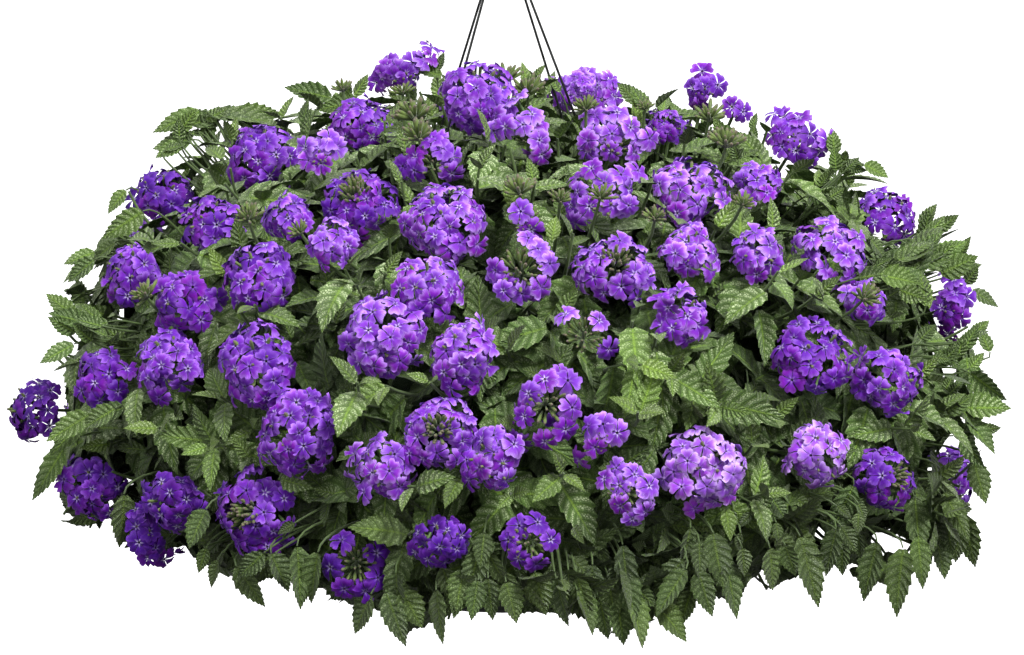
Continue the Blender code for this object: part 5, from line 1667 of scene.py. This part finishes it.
def florets_of(number, head):
    """Places, facings and sizes of a head's florets, and of its buds."""
    radius = max(head["radius"], FULLER * head["full"])
    if number == LEFTMOST_HEAD:
        radius *= LEFTMOST_LARGER
    size = min(FLORET_RADIUS, FLORET_OF_HEAD * radius)
    core = radius - FLORET_SINKS * size
    start = CLOSED_MIDDLE if number in OPENING_HEADS else 0.0
    share = math.cos(math.radians(start)) - math.cos(math.radians(DOME_FOOT))
    count = max(FEWEST_FLORETS, round(2.0 * share * (core / size) ** 2 * CROWDING))
    swing = head_frame(head, rng.uniform(0.0, 6.28))
    local = unit(cap_directions(count, start, DOME_FOOT) + rng.normal(0.0, 0.07, (count, 3)))
    facing = unit(local + rng.normal(0.0, FACING_SPREAD, (count, 3)) + FACE_OUT)
    depth = core * (1.0 + rng.uniform(*DEPTH_SPREAD, count))
    squeeze = np.array([rng.uniform(*span) for span in (SQUEEZE_WIDE, SQUEEZE_WIDE, SQUEEZE_HIGH)])
    middle = dome_middle(number, head, radius)
    at = (local * depth[:, None] * squeeze) @ swing.T + middle
    facing = facing @ swing.T
    buds_out, bud_cone = (OPENING_BUDS_OUT, start) if start else (BUDS_OUT, BUD_CONE)
    if number in LOOSE_HEADS:
        at = florets_by_picture(number, head)
        count = len(at)
        toward = unit(np.array(view_from()) - at)
        outward = unit(at - np.array(head["at"]))
        facing = unit(1.1 * outward + 0.8 * toward + rng.normal(0.0, 0.25, (count, 3)))
        size, buds_out, bud_cone = FLORET_RADIUS, LOOSE_BUDS_OUT, BUD_CONE
    buds = BUDS_IN_OPENING if start or number in LOOSE_HEADS else BUDS
    bud_way = unit(cap_directions(buds, 0.0, bud_cone) + rng.normal(0.0, 0.05, (buds, 3)))
    sizes = np.full(count, size) * rng.uniform(*FLORET_SIZES, count)
    bud_at = (bud_way * radius * buds_out) @ swing.T + middle
    return (at, facing, sizes), (bud_at, bud_way @ swing.T, rng.uniform(*BUD_LENGTH, buds) * radius)


print("heads whose middle is still closed", len(OPENING_HEADS))

# %% [markdown]
# ## The flowers of each node
# The florets of one head differ: those towards the lamp are paler, which is painted light, and
# those low at the side younger and redder. Each floret gets numbers for how pale, how young and how
# starred it is, and how pale changes a little from petal to petal. The material reads them, so four
# finishes give thousands of different petals, where a material for each would be slow and hard to
# change.

# %% Make every node's flowers
TOWARDS_LIGHT = np.array((0.25, -0.25, 0.93))
FILLING_SLOTS = ("petals_violet", "petals_lilac", "petals_deep_violet")
PALE_MIDDLE, PAINTED_LIGHT_BY_HEIGHT, PALE_AND_LIT_BY_HEAD, USUAL_HEAD = 0.43, 0.32, 0.95, 0.52
YOUNG_MIDDLE, YOUNG_BY_HEIGHT, YOUNGEST = 0.28, -0.32, 0.85


def floret_marks(head, at):
    """How pale each floret is, partly as painted light on the side towards the lamp, how young and how
    starred, with a little change from petal to petal.
    """
    count = len(at)
    # Painted light and shade: florets towards the lamp are paler and those away from it deeper, and the
    # head's own paleness, partly painted light and shade, is added.
    high = (at - np.array(head["at"])) @ TOWARDS_LIGHT / head["full"]
    pale = PALE_MIDDLE + PAINTED_LIGHT_BY_HEIGHT * high + PALE_AND_LIT_BY_HEAD * (head["pale"] - USUAL_HEAD)
    pale = pale + rng.normal(0.0, 0.22, count)
    young = YOUNG_MIDDLE + YOUNG_BY_HEIGHT * high + rng.normal(0.0, 0.30, count)
    pale = pale[:, None] + rng.normal(0.0, 0.13, (count, PETALS_A_FLORET + 1))[:, PETAL_OF]
    star = rng.uniform(0.10, 0.75, count)
    return {"pale": np.clip(pale, 0.0, 1.0), "young": np.clip(young, 0.0, YOUNGEST), "star": star}


def bloom(heap, number, head):
    """Adds one head's florets to a heap, and its buds to the plant's own."""
    (at, facing, size), buds = florets_of(number, head)
    count = len(at)
    turn = rng.uniform(0.0, 6.28, count)
    ruffle = rng.normal(-0.02, 0.20, (count, PETALS_A_FLORET + 1))
    heap.add_copies(place_florets(at, facing, turn, size, ruffle), FLORET, **floret_marks(head, at))
    add_buds(plant_at(head["at"]), *buds)
    return count


floret_total = 0
for number, group in enumerate(groups, 1):
    heap = Heap()
    for k in group:
        floret_total += bloom(heap, k, heads[k])
    node = f"bloom_{number:02d}"
    piece = heap.object(f"flowers_{number:02d}", PETALS[slots[node]])
    hand_over(piece, node)

filling = {}
for k, head in enumerate(more_heads):
    slot = FILLING_SLOTS[k % len(FILLING_SLOTS)]
    floret_total += bloom(filling.setdefault(slot, Heap()), len(heads) + k, head)
for slot, heap in filling.items():
    hand_over(heap.object("more_" + slot, PETALS[slot]))
print("florets", floret_total)

# %% [markdown]
# ## Buds and stems
# The buds are green and downy, tipped with purple, and the stems are square, pale green and
# slightly hairy. Both share one way of mottling and one of grain. Young heads that are still all
# buds stand between the open ones, and each is a cone of buds where the picture shows it.

# %% Make the greens of buds and stems
TIP_PURPLE = (0.13, 0.05, 0.09)


def green_material(name, low, high, purple):
    made, tree, shader = new_material(name, 0.55, Sheen_Weight=0.2, Sheen_Roughness=0.5)
    _, along = lie_of(tree)
    tint = blend_colours(tree, step_between(tree, along, 0.0, 0.8), low, high)
    tip = calc(tree, "MULTIPLY", step_between(tree, along, 0.78, 1.0), purple)
    tint = blend_colours(tree, tip, tint, TIP_PURPLE)
    grain = {"Scale": 1800.0, "Strength": 0.4, "Depth": 0.0003}
    skin(tree, shader, tint, {"Scale": 150.0, "Amount": 0.4}, grain, (0.5, 0.7))
    return made


BUD_GREEN = green_material("bud_green", (0.030, 0.055, 0.010), (0.110, 0.165, 0.028), 0.65)
STEM_GREEN = green_material("stem_green", (0.055, 0.095, 0.018), (0.095, 0.150, 0.030), 0.0)
print("made", BUD_GREEN.name, STEM_GREEN.name)

# %% Set the spiky heads of buds
# Heads that are still all buds: each one's place and width in the picture.
BUD_CLUSTERS = (
    (343, 86, 18), (403, 89, 20), (415, 110, 34), (419, 131, 30), (506, 74, 28), (528, 86, 30),
    (586, 104, 22), (709, 112, 30), (645, 105, 16), (600, 192, 24), (863, 293, 24), (147, 290, 26),
    (726, 138, 32), (520, 186, 28), (249, 213, 24), (301, 228, 20), (560, 196, 20), (742, 200, 20),
    (655, 214, 20),
)
CLUSTER_BUDS = 24
CLUSTER_CONE = 72.0
CLUSTER_INSET = 0.006
CLUSTER_LIFT = np.array((0.0, 0.0, 0.7))
CLUSTER_SLIM = 0.85
cluster_stalks = []
for across, down, wide in BUD_CLUSTERS:
    foot = np.array(seen_at(across, down + 0.3 * wide, CLUSTER_INSET))
    axis = unit(mound_normal(foot) + CLUSTER_LIFT + rng.normal(0.0, 0.15, 3))
    scatter = rng.normal(0.0, 0.06, (CLUSTER_BUDS, 3))
    spread = unit(cap_directions(CLUSTER_BUDS, 0.0, CLUSTER_CONE) + scatter)
    first, second = cross_frames(axis[None], np.zeros(1))
    facing = spread @ np.stack([first[0], second[0], axis])
    size = wide * PICTURE_PITCH * rng.uniform(0.52, 0.80, CLUSTER_BUDS)
    add_buds(plant_at(foot), np.tile(foot, (CLUSTER_BUDS, 1)), facing, size, CLUSTER_SLIM)
    cluster_stalks.append((foot, axis))

for name, heap in bud_heaps.items():
    hand_over(heap.object("buds_" + name, BUD_GREEN))
print("spiky heads", len(cluster_stalks), "and buds made for", len(bud_heaps), "plants")

# %% [markdown]
# ## Stems
# Stalks carry the heads and stems carry the leaves. A curve with a round bevel is the plain tool
# for a stem: one object holds all of a plant's stems, each a spline that tapers towards its tip.

# %% Grow the stems
STEM_RINGS = 1


def stems_object(name, routes, material):
    """One curve object from (points, radii) routes."""
    line = bpy.data.curves.new(name, "CURVE")
    line.dimensions = "3D"
    line.bevel_depth = 1.0
    line.bevel_resolution = STEM_RINGS
    line.use_fill_caps = True
    for points, radii in routes:
        spline = line.splines.new("POLY")
        spline.points.add(len(points) - 1)
        spline.use_smooth = True
        for place, point, radius in zip(spline.points, points, radii):
            place.co = (*point, 1.0)
            place.radius = radius
    made = bpy.data.objects.new(name, line)
    collection.objects.link(made)
    line.materials.append(material)
    return made


def bowed(start, start_way, end, count, bow):
    """Points of a smooth bow from start, setting off in start_way, to end."""
    start, end = np.asarray(start, float), np.asarray(end, float)
    reach = np.linalg.norm(end - start)
    handle = start + unit(start_way) * reach * bow
    part = np.linspace(0.0, 1.0, count)[:, None]
    return (1 - part) ** 2 * start + 2 * part * (1 - part) * handle + part**2 * end


print("a bow of three points", bowed((0, 0, 0), (0, 0, 1), (1, 0, 0), 3, 0.5).round(2).tolist())

# %% Route the stems
CROWN_RING = 0.10
CROWN_HEIGHT = -0.41
STALK_IN_HEAD = 0.35
STEMLESS_FROM = 0.052
stem_routes = {name: [] for name in QUARTERS}
crowns = {
    name: np.array(polar(CROWN_RING, (low + high) / 2, CROWN_HEIGHT))
    for name, (low, high) in zip(QUARTERS, quarter_turns())
}


def toward_crown(start, part):
    """A point some part of the way from a stem's upper end to the middle of its plant."""
    return start + (crowns[plant_at(start)] - start) * part


def add_stem(plant, route, thin, thick):
    stem_routes[plant].append((route, np.linspace(thin, thick, len(route))))


for head in all_heads:
    plant = plant_at(head["at"])
    start = np.array(head["at"]) + np.array(head["axis"]) * head["radius"] * STALK_IN_HEAD
    foot = start + (crowns[plant] - start) * 0.42
    add_stem(plant, bowed(start, -np.array(head["axis"]), foot, 8, 0.45), 0.0012, 0.0017)
for foot, axis in cluster_stalks:
    route = bowed(foot + axis * 0.002, -axis, toward_crown(foot, 0.35), 6, 0.4)
    add_stem(plant_at(foot), route, 0.0011, 0.0016)
for foot, blade in zip(edge["base"], edge_blades):
    route = bowed(foot, foot - blade[-1], toward_crown(foot, 0.20), 6, 0.25)
    add_stem(plant_at(foot), route, 0.0006, 0.0011)
for at, axis, depth in zip(shoot_at, shoot_axis, shoot_depth):
    route = bowed(at, -axis, toward_crown(at, 0.20) - axis * 0.02, 5, 0.5)
    hidden = depth > STEMLESS_FROM
    if not (hidden or in_the_way(route[None])[0] or (outside_outline(route) | in_a_gap(route)).any()):
        add_stem(plant_at(at), route, 0.0010, 0.0017)
print("stems", sum(len(routes) for routes in stem_routes.values()))

# %% Make each plant's stems
for name, routes in stem_routes.items():
    hand_over(stems_object("stems_" + name, routes, STEM_GREEN))
print("stem pieces", len(stem_routes))

# %% [markdown]
# ## The hanger
# Four thin steel wires, dark with a coat of paint, a hook bent from thicker wire and a crimped
# sleeve. Curves with a round bevel give the wires and the hook, with more sides than the CAD needs.

# %% Make the hanger's steel
def steel_material(name, colour, roughness):
    made, tree, shader = new_material(name, roughness, Metallic=0.85)
    grain = {"Scale": 2500.0, "Strength": 0.2, "Depth": 0.0001}
    gloss_span = (roughness - 0.08, roughness + 0.10)
    skin(tree, shader, colour, {"Scale": 220.0, "Amount": 0.5}, grain, gloss_span)
    return made


WIRE_STEEL = steel_material("wire_steel", (0.045, 0.048, 0.045), 0.42)
SLEEVE_STEEL = steel_material("sleeve_steel", (0.10, 0.105, 0.10), 0.34)
print("steels", WIRE_STEEL.name, SLEEVE_STEEL.name)

# %% Bend the wires and the hook
HOOK_ROD = 0.0016
HOOK_INSIDE = 0.016
HOOK_ARC = (-50.0, 205.0)
HOOK_STEPS = 48
HOOK_IN_SLEEVE = 0.0075
HOOK_ABOVE_SLEEVE = 0.008
BEND_STEPS = 8
BELOW_FLANGE = 0.004
HOOKED_UP = 0.0036
ROUND_ROD = 5


def wire_route(turn):
    along = polar(1.0, turn + math.pi / 2)
    start, end = wire_ends(turn)
    route = [start + Vector((0.0, 0.0, SLEEVE_HOLE_DEPTH + FIRST_STRAIGHT - CLEAR)), start, end]
    below = Vector((end.x, end.y, POT_RIM_TOP - POT_FLANGE - BELOW_FLANGE))
    route.append(below)
    middle = below + along * WIRE_BEND
    for step in range(1, BEND_STEPS + 1):
        part = math.pi * step / BEND_STEPS
        down = Vector((0.0, 0.0, -WIRE_BEND * math.sin(part)))
        route.append(middle - along * WIRE_BEND * math.cos(part) + down)
    route.append(route[-1] + Vector((0.0, 0.0, HOOKED_UP)))
    return route


def hook_route():
    middle = Vector((0.0, 0.0, -HOOK_INSIDE))
    reach = HOOK_INSIDE + HOOK_ROD
    shank = (SLEEVE_TOP - HOOK_IN_SLEEVE, SLEEVE_TOP + HOOK_ABOVE_SLEEVE)
    route = [Vector((0.0, 0.0, height)) for height in shank]
    start, end = HOOK_ARC
    for step in range(HOOK_STEPS + 1):
        turn = math.radians(start + (end - start) * step / HOOK_STEPS)
        route.append(middle + Vector((reach * math.cos(turn), 0.0, reach * math.sin(turn))))
    return route


def rod_object(name, route, radius, material):
    piece = stems_object(name, [([tuple(p) for p in route], [radius] * len(route))], material)
    piece.data.bevel_resolution = ROUND_ROD
    return piece


for name, turn in zip(WIRE_NAMES, WIRE_TURNS):
    piece = rod_object("wire_" + name, wire_route(math.radians(turn)), WIRE_RADIUS, WIRE_STEEL)
    hand_over(piece, "hanger_wire_" + name)
hand_over(rod_object("hook", hook_route(), HOOK_ROD, WIRE_STEEL), "hanger_hook")
print("wires and hook bent")

# %% [markdown]
# ## The pot and its soil
# The pot is plain dark green plastic with a satin skin, and the soil is a dark peaty mix, with
# painted shade in the low gaps between its crumbs. Both keep the CAD model's shape, and get their
# finish here.

# %% Finish the pot, the soil and the sleeve
PLASTIC_GREEN = (0.018, 0.022, 0.018)
PEAT_BROWN = (0.075, 0.045, 0.026)
PEAT_SHADE = (0.020, 0.012, 0.008)
CRUMBS = 260.0


def plastic_material():
    made, tree, shader = new_material("pot_plastic", 0.42, Specular_IOR_Level=0.5)
    grain = {"Scale": 900.0, "Strength": 0.25, "Depth": 0.0002}
    skin(tree, shader, PLASTIC_GREEN, {"Scale": 30.0, "Amount": 0.5}, grain, (0.36, 0.52))
    return made


def soil_material():
    made, tree, shader = new_material("potting_soil", 0.95)
    crumbs = add(tree, "ShaderNodeTexVoronoi")
    put(tree, crumbs.inputs["Vector"], object_place(tree))
    crumbs.inputs["Scale"].default_value = CRUMBS
    off_crumb = crumbs.outputs["Distance"]
    # Painted shade: the low gaps between the crumbs are darker.
    tint = blend_colours(tree, step_between(tree, off_crumb, 0.1, 0.6), PEAT_BROWN, PEAT_SHADE)
    relief = calc(tree, "MULTIPLY", off_crumb, -2.0)
    grain = {"Scale": 500.0, "Strength": 0.9, "Depth": 0.002, "Relief": relief}
    skin(tree, shader, tint, {"Scale": 90.0, "Amount": 0.7}, grain)
    return made


def dress(node, material):
    thing = frame["nodes"][node]
    thing.data.materials.clear()
    thing.data.materials.append(material)


dress("pot", plastic_material())
dress("soil", soil_material())
dress("hanger_sleeve", SLEEVE_STEEL)
print("pot, soil and sleeve finished")

# %% [markdown]
# ## Floor and light
# The photograph has a plain white ground and soft light from above, a little to the right and the
# front. A white floor far below fills the picture, a bright sky gives the even light, and one large
# soft lamp gives the tops their glow and the undersides their shade. A weak lamp at the left keeps
# that shade from going black.

# %% Lay the floor and hang the lights
scene.view_settings.view_transform = "Standard"
FLOOR_LEVEL = -1.6
FLOOR_HALF = 30.0
LAMP_AIM = Vector((0.0, 0.0, -0.4))

floor_mesh = bpy.data.meshes.new("floor")
corners = [(x * FLOOR_HALF, y * FLOOR_HALF, FLOOR_LEVEL) for x, y in ((-1, -1), (1, -1), (1, 1), (-1, 1))]
floor_mesh.from_pydata(corners, [], [(0, 1, 2, 3)])
floor = bpy.data.objects.new("floor", floor_mesh)
scene.collection.objects.link(floor)
floor_finish, tree, shader = new_material("floor_white", 0.9)
shader.inputs["Base Color"].default_value = (0.80, 0.80, 0.80, 1.0)
shader.inputs["Emission Color"].default_value = (1.0, 1.0, 1.0, 1.0)
shader.inputs["Emission Strength"].default_value = 0.75
floor_mesh.materials.append(floor_finish)
floor.visible_diffuse = False
floor.visible_glossy = False

world = bpy.data.worlds.new("sky")
scene.world = world
world.use_nodes = True
sky = world.node_tree
level = add(sky, "ShaderNodeSeparateXYZ")
put(sky, level.inputs[0], add(sky, "ShaderNodeTexCoord").outputs["Generated"])
brightness = step_between(sky, level.outputs[2], -0.6, 0.8, 0.13, 1.10)
background = sky.nodes["Background"]
background.inputs[0].default_value = (1.0, 1.0, 1.0, 1.0)
put(sky, background.inputs[1], brightness)


def soft_lamp(name, at, size, power):
    lamp = bpy.data.lights.new(name, "AREA")
    lamp.shape = "DISK"
    lamp.size = size
    lamp.energy = power
    made = bpy.data.objects.new(name, lamp)
    made.location = at
    made.rotation_euler = (LAMP_AIM - Vector(at)).to_track_quat("-Z", "Y").to_euler()
    scene.collection.objects.link(made)
    return made


key = soft_lamp("key", (1.3, -1.9, 2.4), 1.0, 145.0)
fill = soft_lamp("fill", (-2.0, -3.0, 0.8), 2.0, 16.0)
print("lamps", key.name, fill.name, "and a sky that is brightest above")

# %% [markdown]
# ## The size
# The dressed basket is meant to stay inside the CAD model's box, apart from the little that soft
# leaves may stand proud. The meshes that show are counted here, with their faces.

# %% Count what shows
meshes = [piece for piece in scene.objects if piece.type == "MESH" and piece is not floor]
shown = [piece for piece in meshes if not piece.hide_render]
print("meshes", len(shown), "with", sum(len(piece.data.polygons) for piece in shown), "faces")
